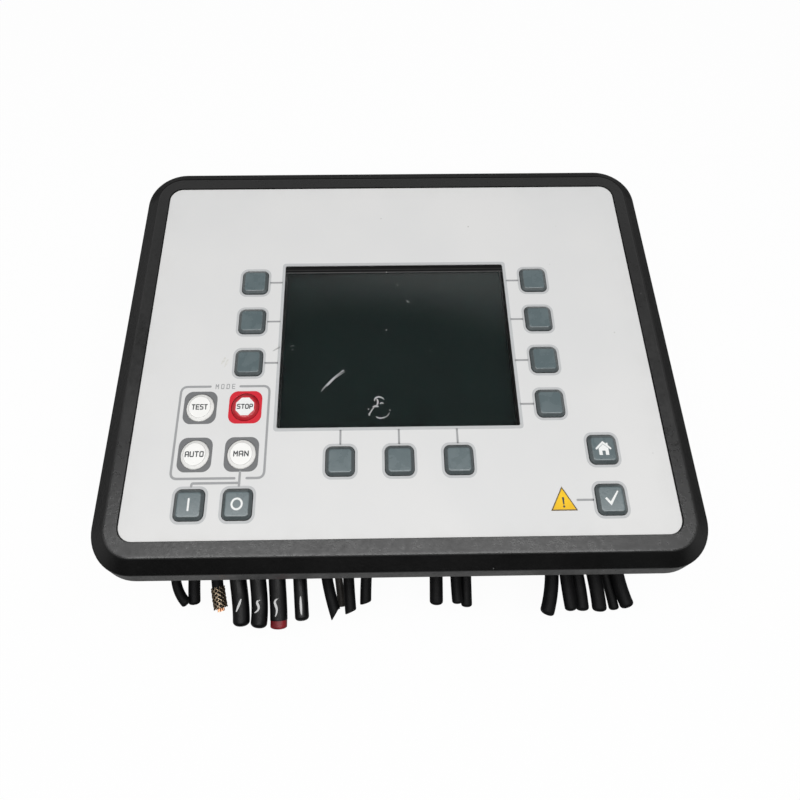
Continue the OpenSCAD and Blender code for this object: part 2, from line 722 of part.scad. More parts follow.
module header_windows() {
  for (i = [0:plug_count - 1])
    translate([plug_x(i) - plug_w / 2 - plug_fit, -rear_block_h / 2 - EPS, main_top_z - plug_fit])
      cube([plug_w + 2 * plug_fit, housing_wall + inner_r, header_h + 2 * plug_fit]);
}

module vent_row() {
  for (i = [0:vent_count - 1])
    translate([housing_w / 2 - housing_wall / 2, (i - (vent_count - 1) / 2) * vent_pitch, 0])
      plain_block(housing_wall + 2 * EPS, vent_w, shoulder_z - vent_len, shoulder_z);
}

module housing_screws() {
  color([0.70, 0.70, 0.72])
    at(CASE_SCREWS)
      difference() {
        union() {
          pin(case_head_r, shoulder_z + case_head_well - case_head_h, shoulder_z + case_head_well);
          pin(case_screw_r, shoulder_z + case_head_well - EPS, ledge_z + case_bite);
        }
        plain_block(case_head_r * 1.2, 0.8, shoulder_z, shoulder_z + case_head_well - case_head_h + 1);
        plain_block(0.8, case_head_r * 1.2, shoulder_z, shoulder_z + case_head_well - case_head_h + 1);
      }
}

module panel_gasket() {
  color([0.05, 0.05, 0.05])
    gasket_ring(0, flange_z - gasket_proud, flange_z + groove_depth);
}

module threaded_inserts() {
  color([0.80, 0.62, 0.25])
    at(INSERTS)
      difference() {
        pin(insert_r, flange_z, flange_z + insert_len);
        pin(insert_bore_r, flange_z - EPS, flange_z + insert_len - 1);
      }
}

module terminal_headers() {
  color([0.16, 0.40, 0.20])
    both_long_sides()
      for (i = [0:plug_count - 1]) translate([plug_x(i), 0, 0]) terminal_header();
}

module terminal_header() {
  depth = header_socket + header_wall;
  difference() {
    translate([-plug_w / 2, -header_face_y, main_top_z]) cube([plug_w, depth, header_h]);
    translate([-plug_w / 2 + header_wall, -header_face_y - EPS, main_top_z + header_wall])
      cube([plug_w - 2 * header_wall, header_socket + EPS, header_h - 2 * header_wall]);
  }
}

module terminal_plugs() {
  color([0.18, 0.45, 0.22])
    both_long_sides()
      for (i = [0:plug_count - 1]) translate([plug_x(i), 0, 0]) terminal_plug();
}

// A plug with a wire entry, a screw well and a rib line for each pole, and a nose in its header
module terminal_plug() {
  nose_in = header_wall + plug_fit;
  rib_line = 0.5;
  difference() {
    union() {
      translate([-plug_w / 2, -plug_face_y, plug_z]) cube([plug_w, plug_depth, plug_h]);
      translate([-plug_w / 2 + nose_in, -header_face_y - EPS, main_top_z + nose_in])
        cube([plug_w - 2 * nose_in, nose_len + EPS, header_h - 2 * nose_in]);
    }
    for (j = [0:poles - 1]) translate([pole_x(j), 0, 0]) {
      translate([0, -plug_face_y - EPS, entry_z])
        rotate([-90, 0, 0]) cylinder(r = entry_r, h = entry_depth + EPS);
      translate([0, -header_face_y - plug_depth / 2, 0])
        pin(terminal_screw_r + 2 * screw_gap, plug_z - EPS, plug_z + screw_well);
    }
    for (j = [0:poles - 2])
      translate([pole_x(j) + pole_pitch / 2 - rib_line / 2, -plug_face_y - EPS, plug_z - EPS])
        cube([rib_line, rib_line + EPS, plug_h + 2 * EPS]);
  }
}

module terminal_screws() {
  slot = 0.6;
  color([0.72, 0.72, 0.74])
    both_long_sides()
      for (i = [0:plug_count - 1], j = [0:poles - 1])
        translate([plug_x(i) + pole_x(j), -header_face_y - plug_depth / 2, 0])
          difference() {
            pin(terminal_screw_r, plug_z + screw_well - terminal_screw_h, plug_z + screw_well);
            plain_block(2 * terminal_screw_r + 1, slot, plug_z, plug_z + screw_well - terminal_screw_h + 1);
          }
}

// A folded blade on a foot, against the right short side
module earth_tab() {
  color([0.78, 0.76, 0.70])
    translate([housing_w / 2, earth_y, earth_z])
      difference() {
        union() {
          translate([0, -earth_w / 2, -earth_foot / 2]) cube([earth_t, earth_w, earth_foot]);
          translate([0, -earth_w / 2, earth_foot / 2 - earth_t])
            cube([earth_len, earth_w, earth_t]);
        }
        translate([earth_len * 0.7, 0, -EPS]) cylinder(r = 0.8, h = earth_foot);
      }
}

function unit(v) = v / norm(v);
function wire_heading(p, i) =
  i == 0 ? [0, -1, 0]
  : i == len(p) - 1 ? unit(p[i] - p[i - 1])
  : unit(p[i + 1] - p[i - 1]);
function wire_ring(c, t, r) =
  let (u = unit(cross(t, [0, 0, 1])), v = cross(u, t))
  [for (a = [0:wire_sides - 1]) let (q = 360 * a / wire_sides) c + r * (cos(q) * u + sin(q) * v)];

// A wire stub: one tube swept along its route, flat at both ends
module wire_stub(w) {
  p = wire_route(w);
  n = wire_sides;
  last = len(p) - 1;
  rings = [for (i = [0:last]) each wire_ring(p[i], wire_heading(p, i), w[0] / 2)];
  walls = [for (i = [0:last - 1], a = [0:n - 1])
    let (b = (a + 1) % n) [i * n + a, i * n + b, (i + 1) * n + b, (i + 1) * n + a]];
  near_cap = [for (a = [n - 1:-1:0]) a];
  far_cap = [for (a = [0:n - 1]) last * n + a];
  color([0.07, 0.07, 0.07]) polyhedron(rings, concat(walls, [near_cap, far_cap]));
}

front_bezel();
front_overlay();
display_window();
alarm_lens();
lcd_frame();
lcd_panel();
for (k = KEYS) push_key(k);
key_mat();
keypad_board();
keypad_screws();
main_board();
main_board_screws();
relays();
board_connectors();
ribbon_cable();
rear_housing();
housing_screws();
panel_gasket();
threaded_inserts();
terminal_headers();
terminal_plugs();
terminal_screws();
earth_tab();
for (i = [0:len(WIRES) - 1]) wire_stub(WIRES[i]);
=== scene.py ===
# %% [markdown]
# A panel-mounted genset controller lies on its back on a pale table. The solids of the controller come
# from the imported model. This lesson gives every one of them its finish, adds the print on the front
# film, the signs on the keys, the marks of use on film and pane, painted shade and highlights along the
# pane's upper and right edges and the cut wire stubs, and sets up the camera and the light. Lengths are
# written in millimetres and become metres when a mesh is made.

import bpy
import numpy as np
from mathutils import Matrix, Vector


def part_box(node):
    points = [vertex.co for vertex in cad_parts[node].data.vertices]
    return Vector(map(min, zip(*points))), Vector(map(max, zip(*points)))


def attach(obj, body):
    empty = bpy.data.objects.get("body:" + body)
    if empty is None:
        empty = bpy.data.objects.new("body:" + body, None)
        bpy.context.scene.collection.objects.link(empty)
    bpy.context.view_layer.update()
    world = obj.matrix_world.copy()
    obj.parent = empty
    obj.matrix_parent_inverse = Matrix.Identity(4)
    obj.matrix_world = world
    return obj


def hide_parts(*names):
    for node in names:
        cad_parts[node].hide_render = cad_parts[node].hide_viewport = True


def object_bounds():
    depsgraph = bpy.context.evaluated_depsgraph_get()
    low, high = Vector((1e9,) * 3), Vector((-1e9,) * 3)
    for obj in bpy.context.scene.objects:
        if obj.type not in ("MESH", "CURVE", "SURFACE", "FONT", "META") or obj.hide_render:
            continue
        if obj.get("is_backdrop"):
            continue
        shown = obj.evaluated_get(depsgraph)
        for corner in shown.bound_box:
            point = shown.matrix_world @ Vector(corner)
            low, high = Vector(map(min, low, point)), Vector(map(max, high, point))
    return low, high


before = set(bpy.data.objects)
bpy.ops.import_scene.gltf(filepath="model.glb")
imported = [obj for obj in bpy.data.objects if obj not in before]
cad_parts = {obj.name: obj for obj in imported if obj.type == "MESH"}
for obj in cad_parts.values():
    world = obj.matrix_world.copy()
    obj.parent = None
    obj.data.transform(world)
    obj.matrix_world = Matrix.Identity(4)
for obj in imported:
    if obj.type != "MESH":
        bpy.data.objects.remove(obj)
cad_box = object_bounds()
MM = 0.001
scene = bpy.context.scene
scene.view_settings.view_transform = "Standard"

# %% [markdown]
# The photograph was taken from above the lower edge, with the picture cut down round the object. A
# cropped picture has its optical axis off centre, and a camera shift gives the same perspective. The
# camera could be aimed with a constraint, but its three small turns are known, so they are multiplied
# out: a turn about each axis takes the panel's axes to the camera's, and the transpose takes them back.

# %% The camera
CAMERA_PLACE = (-12.9, -136.7, 430.6)
CAMERA_TURNS = np.radians((-29.87, 0.73, 0.52))
AXIS_PIXEL = np.array((379.0, 247.4))
PICTURE_SIZE = 800
SENSOR_WIDTH, FOCAL_LENGTH = 36, 31.5


def turn(angle, axis):
    """Rotation about one axis: cosines on the two other axes' diagonal, and the sine between them."""
    i, j = (axis + 1) % 3, (axis + 2) % 3
    r = np.eye(3)
    r[i, i] = r[j, j] = np.cos(angle)
    r[j, i] = np.sin(angle)
    r[i, j] = -np.sin(angle)
    return r


panel_to_camera = turn(CAMERA_TURNS[2], 2) @ turn(CAMERA_TURNS[1], 1) @ turn(CAMERA_TURNS[0], 0)
camera = bpy.data.objects.new("camera", bpy.data.cameras.new("camera"))
camera.data.sensor_width = SENSOR_WIDTH
camera.data.lens = FOCAL_LENGTH
camera.data.shift_x, camera.data.shift_y = (0.5 - AXIS_PIXEL / PICTURE_SIZE) * (1, -1)
camera.matrix_world = Matrix.Translation(np.array(CAMERA_PLACE) * MM) @ Matrix(panel_to_camera.T).to_4x4()
scene.collection.objects.link(camera)
scene.camera = camera
print("camera shift:", round(camera.data.shift_x, 4), round(camera.data.shift_y, 4))

# %% [markdown]
# Shader maths reads best as ordinary arithmetic. The class below wraps one output socket of a node tree.
# Adding or multiplying two of them adds a Math node, and `node` adds any other node: its settings first,
# then the values or links of its sockets. Numbers that never meet a socket are worked out in Python.

# %% Sockets that can be added and multiplied
def operator(operation, swapped=False):
    """A method for an operator, or for its reflected form, in which the terms change places."""
    def method(self, other):
        return self.math(operation, *((other, self) if swapped else (self, other)))
    return method


def fill(tree, inputs, values):
    """Links or sets each named input, as its value asks."""
    for key, value in values.items():
        if isinstance(value, Sock):
            tree.links.new(value.out, inputs[key])
        else:
            inputs[key].default_value = value


class Sock:
    """One output socket, whose arithmetic adds Math nodes to its tree."""

    def __init__(self, tree, out=None):
        self.tree, self.out = tree, out

    def node(self, kind, settings=None, values=None, out=0):
        """Adds a node, sets it up, fills its sockets, and returns one of its outputs."""
        made = self.tree.nodes.new("ShaderNode" + kind)
        for key, value in (settings or {}).items():
            setattr(made, key, value)
        fill(self.tree, made.inputs, values or {})
        return Sock(self.tree, made.outputs[out])

    def math(self, operation, *terms):
        """A Math node on the given terms."""
        return self.node("Math", {"operation": operation}, dict(enumerate(terms)))

    __add__ = __radd__ = operator("ADD")
    __mul__ = __rmul__ = operator("MULTIPLY")
    __sub__, __rsub__ = operator("SUBTRACT"), operator("SUBTRACT", swapped=True)
    __truediv__, __rtruediv__ = operator("DIVIDE"), operator("DIVIDE", swapped=True)
    __pow__ = operator("POWER")

    def __abs__(self):
        return self.math("ABSOLUTE", self)

    def ease(self, low, high):
        """0 below low, 1 above high, and a smooth step between them."""
        return self.node("MapRange", {"interpolation_type": "SMOOTHSTEP"},
                         {"Value": self, "From Min": low, "From Max": high})

    def mix(self, first, second):
        """The first colour where this value is 0, and the second where it is 1."""
        return self.node("Mix", {"data_type": "RGBA"}, {0: self, 6: first, 7: second}, out=2)

    def place(self):
        """The point on the piece in its own coordinates, in metres."""
        return self.node("TexCoord", out="Object")

    def split(self):
        """The three coordinates of a vector, each on its own."""
        outputs = self.node("SeparateXYZ", None, {"Vector": self}).out.node.outputs
        return [Sock(self.tree, out) for out in outputs]

    def axes(self):
        """The three coordinates of the point on the piece."""
        return self.place().split()

    def upward(self):
        """How far the surface faces up: 1 on a level top and 0 on an upright side."""
        return self.node("NewGeometry", out="Normal").split()[2]

    def noise(self, size, detail=2.0):
        """Cloudy noise from 0 to 1 whose blots are about that many millimetres wide."""
        return self.node("TexNoise", None,
                         {"Vector": self.place(), "Scale": 1 / (size * MM), "Detail": detail})

    def specks(self, size, share):
        """1 in the middle of a few cells of a Voronoi pattern, and 0 elsewhere."""
        cells = {"Vector": self.place(), "Scale": 1 / (size * MM)}
        near = self.node("TexVoronoi", None, cells)
        chance = self.node("SeparateColor", None, {0: self.node("TexVoronoi", None, cells, out="Color")})
        return (1 - near.ease(0.02, 0.09)) * (1 - chance.ease(share, share + 0.01))

    def bump(self, height, depth, strength):
        """The normal of a surface that rises by depth millimetres where the height is 1."""
        return self.node("Bump", None, {"Height": height, "Distance": depth * MM, "Strength": strength})


def grey(value):
    return (value, value, value, 1)


def finish(name, recipe, *facts):
    """A new material. The recipe gets its node tree and returns what goes into the Principled shader."""
    material = bpy.data.materials.new(name)
    material.use_nodes = True
    tree = material.node_tree
    fill(tree, tree.nodes["Principled BSDF"].inputs, recipe(Sock(tree), *facts))
    return material


def dress(nodes, name, recipe, *facts):
    """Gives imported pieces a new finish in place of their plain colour."""
    material = finish(name, recipe, *facts)
    for node in nodes:
        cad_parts[node].data.materials.clear()
        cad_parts[node].data.materials.append(material)
    print(name, "on", *nodes)


# %% [markdown]
# New pieces are parametric surfaces: loops of points stacked into a grid, as whole arrays. One helper
# numbers the quads of such a grid, whose rows are closed loops, and one puts a list of such shapes into
# a mesh at the origin, with its place in its points.

# %% From arrays to pieces
SMOOTH_ANGLE = np.radians(40)


def grid_faces(rows, columns, wrap_rows=False):
    """Quads between neighbouring points of a grid, counted so that they face away from its middle."""
    i = np.arange(rows if wrap_rows else rows - 1)[:, None]
    j = np.arange(columns)[None, :]
    up, right = (i + 1) % rows, (j + 1) % columns
    quads = [i * columns + j, i * columns + right, up * columns + right, up * columns + j]
    return np.stack(quads, -1).reshape(-1, 4)


def piece(name, shapes, material, body="housing"):
    """One mesh of several shapes, each a pair of points in millimetres and faces."""
    points, faces, start = [], [], 0
    for shape_points, shape_faces in shapes:
        points.append(shape_points)
        faces += [[start + int(k) for k in face] for face in shape_faces]
        start += len(shape_points)
    mesh = bpy.data.meshes.new(name)
    mesh.from_pydata(np.concatenate(points) * MM, [], faces)
    mesh.polygons.foreach_set("use_smooth", np.ones(len(faces), bool))
    mesh.set_sharp_from_angle(angle=SMOOTH_ANGLE)
    mesh.materials.append(material)
    made = bpy.data.objects.new(name, mesh)
    scene.collection.objects.link(made)
    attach(made, body)
    return made


# %% [markdown]
# Pressed folds, print and scuffs are flat shapes. Each starts as an outline seen from above, counted
# anticlockwise, and a plate gives it two heights, an upright edge and two lids.

# %% Flat shapes
def at_height(outline, z):
    """The points of an outline, lifted to one height."""
    return np.column_stack([outline, np.full(len(outline), z)])


def plate(outline, low, high):
    """A flat shape with upright edges: its outline at two heights, and a lid on both."""
    n = len(outline)
    points = np.concatenate([at_height(outline, low), at_height(outline, high)])
    return points, [*grid_faces(2, n), np.arange(n)[::-1], np.arange(n) + n]


def regular(radius, sides, start, centre=(0, 0)):
    """Equal steps round a circle, from a start angle in degrees."""
    angle = np.radians(start) + np.linspace(0, 2 * np.pi, sides, endpoint=False)
    return radius * np.stack([np.cos(angle), np.sin(angle)], 1) + centre


def brush(points, width, steps=18):
    """Outline of a stroke that swells and tapers: a smooth curve through the given points, moved to both
    sides by half the width times the root of a half sine wave."""
    p = np.array(points, float)
    share = np.linspace(0, 1, len(p))
    t = np.linspace(0, 1, steps)
    curve = np.stack([np.polyval(np.polyfit(share, p[:, k], len(p) - 1), t) for k in range(2)], 1)
    d = np.gradient(curve, axis=0)
    n = np.stack([-d[:, 1], d[:, 0]], 1) / np.linalg.norm(d, axis=1, keepdims=True)
    off = n * (width / 2 * np.sqrt(np.sin(np.pi * np.linspace(0.03, 0.97, steps))))[:, None]
    return np.concatenate([curve + off, (curve - off)[::-1]])[::-1]


# %% [markdown]
# The wires were cut short when the controller was taken out of its switchboard, so 20 stubs are left in
# the lower terminal plugs. Each leaves its pole's entry and droops a little. A Blender curve with a round
# bevel could draw them, but its end would be a plain disc. Here a round section is carried along the one
# cubic through the route's four points, and the cut end is turned in to a recess that shows the strands.

# %% Wire routes
POLE_PITCH, POLES = 5.08, 9
PLUG_PITCH, PLUGS = 47.72, 5
plug_low, plug_high = (np.array(corner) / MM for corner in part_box("terminal_plugs"))
ENTRY_Z = (plug_low[2] + plug_high[2]) / 2
# Outer diameter, plug, pole, and the route past its entry: steps to the right, out of the plug and up
WIRES = [
    (4.2, 0, 0, ((-0.8, 10, -0.6), (0.2, 24, -1.6), (6.8, 34.6, -1.6))),
    (5.4, 0, 2, ((-0.8, 10, -0.6), (-0.9, 24, -3.6), (-0.1, 34.5, -5.8))),
    (6.0, 0, 4, ((0, 10, 0.4), (1.6, 24, 0.4), (4.6, 37.2, -0.6))),
    (7.4, 0, 6, ((0.3, 12, 1.4), (3.1, 28, 0.4), (5, 44.6, -3.6))),
    (7.4, 0, 8, ((0.5, 12, 1.8), (3.1, 28, 0.8), (3.8, 45.6, -2.6))),
    (7.6, 1, 1, ((-0.6, 12, 1.4), (0.6, 28, 0), (1.8, 46.2, -3.6))),
    (6.8, 1, 3, ((0.8, 12, 0.4), (2.2, 28, -0.6), (3.6, 42.8, -1.6))),
    (5.8, 1, 6, ((-0.8, 10, 1.4), (1, 25, 2.8), (5.6, 40.8, 2.4))),
    (4.0, 1, 7, ((-0.1, 10, -1.6), (1.5, 24, -4.2), (3.1, 37.2, -6.2))),
    (5.8, 1, 8, ((0.8, 10, 0.4), (1.8, 25, 0.4), (3, 40, -0.6))),
    (5.8, 2, 1, ((-0.4, 10, 0.4), (-1.2, 24, -0.6), (-1.6, 35.8, -2.6))),
    (6.0, 2, 8, ((0.1, 10, -0.6), (-0.2, 24, -1.6), (-0.6, 36.4, -3.6))),
    (4.8, 3, 1, ((-1.5, 10, 0.4), (-2.3, 24, 0.4), (-2, 36.2, -0.6))),
    (4.8, 3, 2, ((-1, 10, -0.6), (-1.8, 24, -2.2), (-2.2, 37.6, -4))),
    (5.6, 4, 1, ((1.2, 12, -0.6), (0.4, 26, -1.6), (-4.1, 41.8, -2.6))),
    (4.4, 4, 2, ((1.3, 10, 1.4), (1.9, 25, 2), (2.9, 40.2, 0.4))),
    (5.4, 4, 3, ((2, 10, -0.6), (4.2, 25, -2.6), (4.6, 40.2, -3.6))),
    (5.6, 4, 5, ((0.4, 10, 0.4), (1.8, 25, 0.4), (2.4, 40.8, -0.6))),
    (4.4, 4, 6, ((1.2, 10, -0.6), (3.8, 25, -2.6), (5.8, 40, -3.6))),
    (6.4, 4, 8, ((-1.2, 10, 0.4), (-1.2, 25, 0.4), (1.5, 39.2, 0.4))),
]
ROUTE_POINTS = 28


def way_along(line):
    """Distance along a line at each of its points: the steps between them, added up."""
    return np.concatenate([[0], np.cumsum(np.linalg.norm(np.diff(line, axis=0), axis=1))])


def wire_route(plug, pole, steps):
    """Points on the one cubic through the route's four points, told apart by their distance along it."""
    entry_x = (plug - (PLUGS - 1) / 2) * PLUG_PITCH + (pole - (POLES - 1) / 2) * POLE_PITCH
    given = np.array([(0, 0, 0), *steps]) * (1, -1, 1) + (entry_x, plug_low[1], ENTRY_Z)
    along = way_along(given)
    cubic = np.polyfit(along, given, 3)
    at = np.linspace(0, along[-1], ROUTE_POINTS)
    return np.stack([np.polyval(cubic[:, k], at) for k in range(3)], 1)


def section_axes(line):
    """For each point of a line, its heading and two directions square to it."""
    heading = np.gradient(line, axis=0)
    heading /= np.linalg.norm(heading, axis=1, keepdims=True)
    side = np.cross(heading, (0, 0, 1))
    side /= np.linalg.norm(side, axis=1, keepdims=True)
    return heading, side, np.cross(side, heading)


def tube(line, across, upward=None, sides=20, slant=0.0, slanted=0):
    """An ellipse of points round each point of the line, with its two half widths there; the end rings
    are filled. On the last slanted rings, points to the left move ahead by slant times their distance."""
    heading, side, up = section_axes(line)
    across = np.asarray(across)[:, None, None]
    upward = across if upward is None else np.asarray(upward)[:, None, None]
    angle = np.linspace(0, 2 * np.pi, sides, endpoint=False)[None, :, None]
    ahead = slant * (np.arange(len(line)) >= len(line) - slanted)[:, None, None]
    points = line[:, None] + np.cos(angle) * across * (side[:, None] + ahead * heading[:, None])
    points = points + np.sin(angle) * upward * up[:, None]
    near, far = np.arange(sides)[::-1], np.arange(sides) + (len(line) - 1) * sides
    return points.reshape(-1, 3), [*grid_faces(len(line), sides), near, far]


# %% [markdown]
# Wire insulation is soft black PVC: dark and dull, with faint smears. Most stubs end in a sleeve of
# shrunk tube, and the four widest of these are glossy and carry a fold that the pliers pressed. Strands
# are bare copper that has gone brown.

# %% Finishes of the wires
def insulation(s, tint, gloss, shine, dents):
    smear = s.noise(6, 3)
    return {
        "Base Color": smear.ease(0.35, 0.75).mix((*tint, 1), (*(np.array(tint) * 1.9 + 0.001), 1)),
        "Roughness": gloss + 0.16 * s.noise(2.5, 4),
        "Specular IOR Level": shine,
        "Normal": s.bump(s.noise(9, 0), dents, 0.8),
    }


def bare_copper(s, bright, dull):
    return {
        "Base Color": s.noise(0.8, 3).ease(0.35, 0.7).mix((*bright, 1), (*dull, 1)),
        "Metallic": 1.0,
        "Roughness": 0.28 + 0.2 * s.noise(0.5),
    }


def pressed_tube(s):
    return {
        "Base Color": s.noise(3).mix(grey(0.002), grey(0.006)),
        "Roughness": 0.08 + 0.1 * s.noise(1.5),
        "Specular IOR Level": 1.0,
        "Coat Weight": 0.8 + 0.2 * s.noise(2),
        "Coat Roughness": 0.08,
    }


wire_black = finish("wire_black", insulation, (0.002, 0.002, 0.0023), 0.48, 0.14, 0.3)
wire_brown = finish("wire_brown", insulation, (0.02, 0.018, 0.016), 0.5, 0.2, 0.3)
wire_red = finish("wire_red", insulation, (0.13, 0.004, 0.007), 0.3, 0.4, 1.5)
shrunk_tube = finish("shrunk_tube", insulation, (0.002, 0.002, 0.0023), 0.24, 0.22, 0.8)
pressed = finish("pressed_tube", pressed_tube)
copper = finish("bare_copper", bare_copper, (0.75, 0.42, 0.26), (0.4, 0.2, 0.11))
braid_wire = finish("braid_wire", bare_copper, (0.45, 0.36, 0.25), (0.08, 0.06, 0.045))

# %% Ends of the wires
STRANDS, STRAND_SIDES = 7, 6
# The strands' distance from the middle and their thickness, in radii, and how far they fan out
STRAND_RING, STRAND_THIN, STRAND_FAN = 0.36, 0.17, 1.25


def strands(line, radius, start, reach):
    """Thin rods side by side round the line's end: one in the middle and the others in a ring."""
    heading, side, up = (a[-1] for a in section_axes(line))
    spots = np.concatenate([[(0, 0)], regular(STRAND_RING * radius, STRANDS - 1, 0)])
    thin = np.full(4, STRAND_THIN * radius)
    rods = []
    for across, upward in spots:
        fan = across * side + upward * up
        root = line[-1] + fan + start * heading
        tip = line[-1] + STRAND_FAN * fan + reach * heading
        rods.append(tube(np.linspace(root, tip, len(thin)), thin, sides=STRAND_SIDES))
    return rods


BRAID_STRANDS, BRAID_TURNS, BRAID_THIN = 16, 0.6, 0.34
# Strands that turn one way lie a little deeper than the others
BRAID_LAYERS = (1.0, 0.6)


def braid(line, radius):
    """Strands wound round the line: each keeps its distance from it while its angle grows with the way
    along, half of the strands to one side and half to the other."""
    _, side, up = section_axes(line)
    share = np.linspace(0, 1, len(line))
    rods = []
    for k in range(BRAID_STRANDS):
        turns = BRAID_TURNS if k % 2 else -BRAID_TURNS
        angle = 2 * np.pi * (k / BRAID_STRANDS + turns * share)[:, None]
        distance = radius + BRAID_THIN * BRAID_LAYERS[k % 2]
        spiral = line + distance * (np.cos(angle) * side + np.sin(angle) * up)
        rods.append(tube(spiral, np.full(len(line), BRAID_THIN), sides=STRAND_SIDES))
    return rods


SLEEVE_ROWS, TIP_ROWS, SLEEVE_SIDES = 18, 8, 28
# Width of the pinched start, the share of the length that it takes, and the power of the tip's curve
PINCH, PINCH_SHARE, TIP_POWER = 0.86, 0.12, 2.4
TIP_ANGLE = 0.47 * np.pi


def sleeve(line, wide, high, reach, rounding):
    """An elliptic tube over the line and a little past it. Its half widths swell from a pinched start, and
    within a length r of the tip they shrink as (1 - (1 - s / r)^p)^(1 / p), s being what is left to it."""
    heading = section_axes(line)[0][-1]
    gone = way_along(line)
    total, tip = gone[-1] + reach, wide * rounding
    turn_in = 1 - np.sin(np.linspace(0, TIP_ANGLE, TIP_ROWS + 1)[1:])
    at = np.concatenate([np.linspace(0, total - tip, SLEEVE_ROWS), total - tip * turn_in])
    rows = np.stack([np.interp(at, gone, line[:, k]) for k in range(3)], 1)
    rows += np.maximum(at - gone[-1], 0)[:, None] * heading
    left = np.minimum((total - at) / tip, 1)
    swell = (1 - (1 - left) ** TIP_POWER) ** (1 / TIP_POWER)
    swell *= PINCH + (1 - PINCH) * np.minimum(at / (PINCH_SHARE * total), 1)
    return tube(rows, wide * swell, high * swell, SLEEVE_SIDES)


FOLD_WIDTH, FOLD_DEPTH, FOLD_RISE, FOLD_SLOPE = 1.15, 2.4, 0.03, 0.07


def fold(line, steps, half_height):
    """A stroke pressed up out of a sleeve's top. Its outline is drawn beside the wire, and its flat top
    starts at the sleeve's own and then falls more slowly than the sleeve does."""
    right, out = np.array(steps).T
    wire_out = plug_low[1] - line[:, 1]
    across = np.interp(out, wire_out, line[:, 0]) + right
    outline = brush(np.stack([across, plug_low[1] - out], 1), FOLD_WIDTH)
    top = np.interp(out[0], wire_out, line[:, 2]) + half_height + FOLD_RISE
    points, faces = plate(outline, top - FOLD_DEPTH, top)
    points[:, 2] -= FOLD_SLOPE * (plug_low[1] - out[0] - points[:, 1])
    return points, faces


# %% [markdown]
# Each stub is one jacket along its route, with its cut end turned in over the lip to a recess that shows
# the strands. One stub has its braid bare, most others end in a sleeve, and one sleeve is cut short, so
# that the red of an inner sleeve shows.

# %% What the wire stubs end in
# Where a sleeve starts along the route, its width and its height
SLEEVES = {
    1: (0.3, 5.0, 4.8), 2: (0.3, 6.2, 5.8), 4: (0.4, 8.7, 7.9), 5: (0.4, 8.5, 7.9),
    6: (0.42, 8.9, 8.1), 7: (0.4, 7.2, 7.1), 12: (0.3, 6.9, 6.4), 13: (0.3, 5.7, 5.6),
    14: (0.3, 5.7, 5.6), 15: (0.3, 7.2, 6.6), 16: (0.3, 6.2, 5.8), 17: (0.3, 6.8, 6.4),
    18: (0.3, 7.4, 6.4), 19: (0.3, 5.2, 5.2), 20: (0.3, 7.2, 6.9),
}
GLOSSY_SLEEVES, BROWN_WIRES, RED_END, BRAIDED = (4, 5, 6, 7), (9,), 6, 3
# Cuts that weren't square: how far the left side runs ahead for each millimetre to the left
SLANTS = {8: 0.8, 10: 0.3, 11: 0.3}
# Folds that the pliers left on the glossy sleeves: steps to the right of the wire and out of the plug
FOLDS = {
    4: ((1.0, 33.4), (0.3, 35.0), (-0.6, 36.8), (-1.7, 39.2)),
    5: ((0.8, 34.1), (-0.7, 35.4), (0.1, 37.4), (-1.9, 39.8)),
    6: ((0.4, 33.4), (-1.3, 35.4), (-0.5, 37.8), (-1.2, 41.6)),
    7: ((0.1, 32.6), (0.0, 37.0), (0.1, 41.2)),
}
# Rows of the cut end in radii: steps ahead, over the lip and back into the recess, and half widths
CUT_END = np.array([(-0.1, 1.0), (0.05, 0.92), (0.08, 0.8), (0.08, 0.66), (-0.5, 0.62)])
# Where strands start and end behind the cut, in radii, and how far bare ones stand out, in millimetres
STRAND_ROOT, STRAND_SUNK, STRAND_BARE = 1.2, 0.25, 1.6
BRAID_START = 0.72
# How far a sleeve reaches past its wire, and its tip's rounding as a share of its half width
SOFT_TIP, CUT_TIP, RED_TIP = (0.8, 0.6), (0.3, 0.1), (0.8, 0.35)
# Route points that the short sleeve leaves bare, and the inner sleeve's length and share of its width
RED_SHOWS, RED_LENGTH, RED_SHARE = 2, 5, 0.48


def jacket(line, radius, slant):
    """A tube along the route whose last rows turn in over the lip, with the tip at the route's end."""
    heading = section_axes(line)[0][-1]
    ahead, wide = (CUT_END * radius).T
    ends = line[-1] + (ahead - ahead.max())[:, None] * heading
    widths = np.concatenate([np.full(len(line) - 1, radius), wide])
    return tube(np.concatenate([line[:-1], ends]), widths, slant=slant, slanted=len(ends))


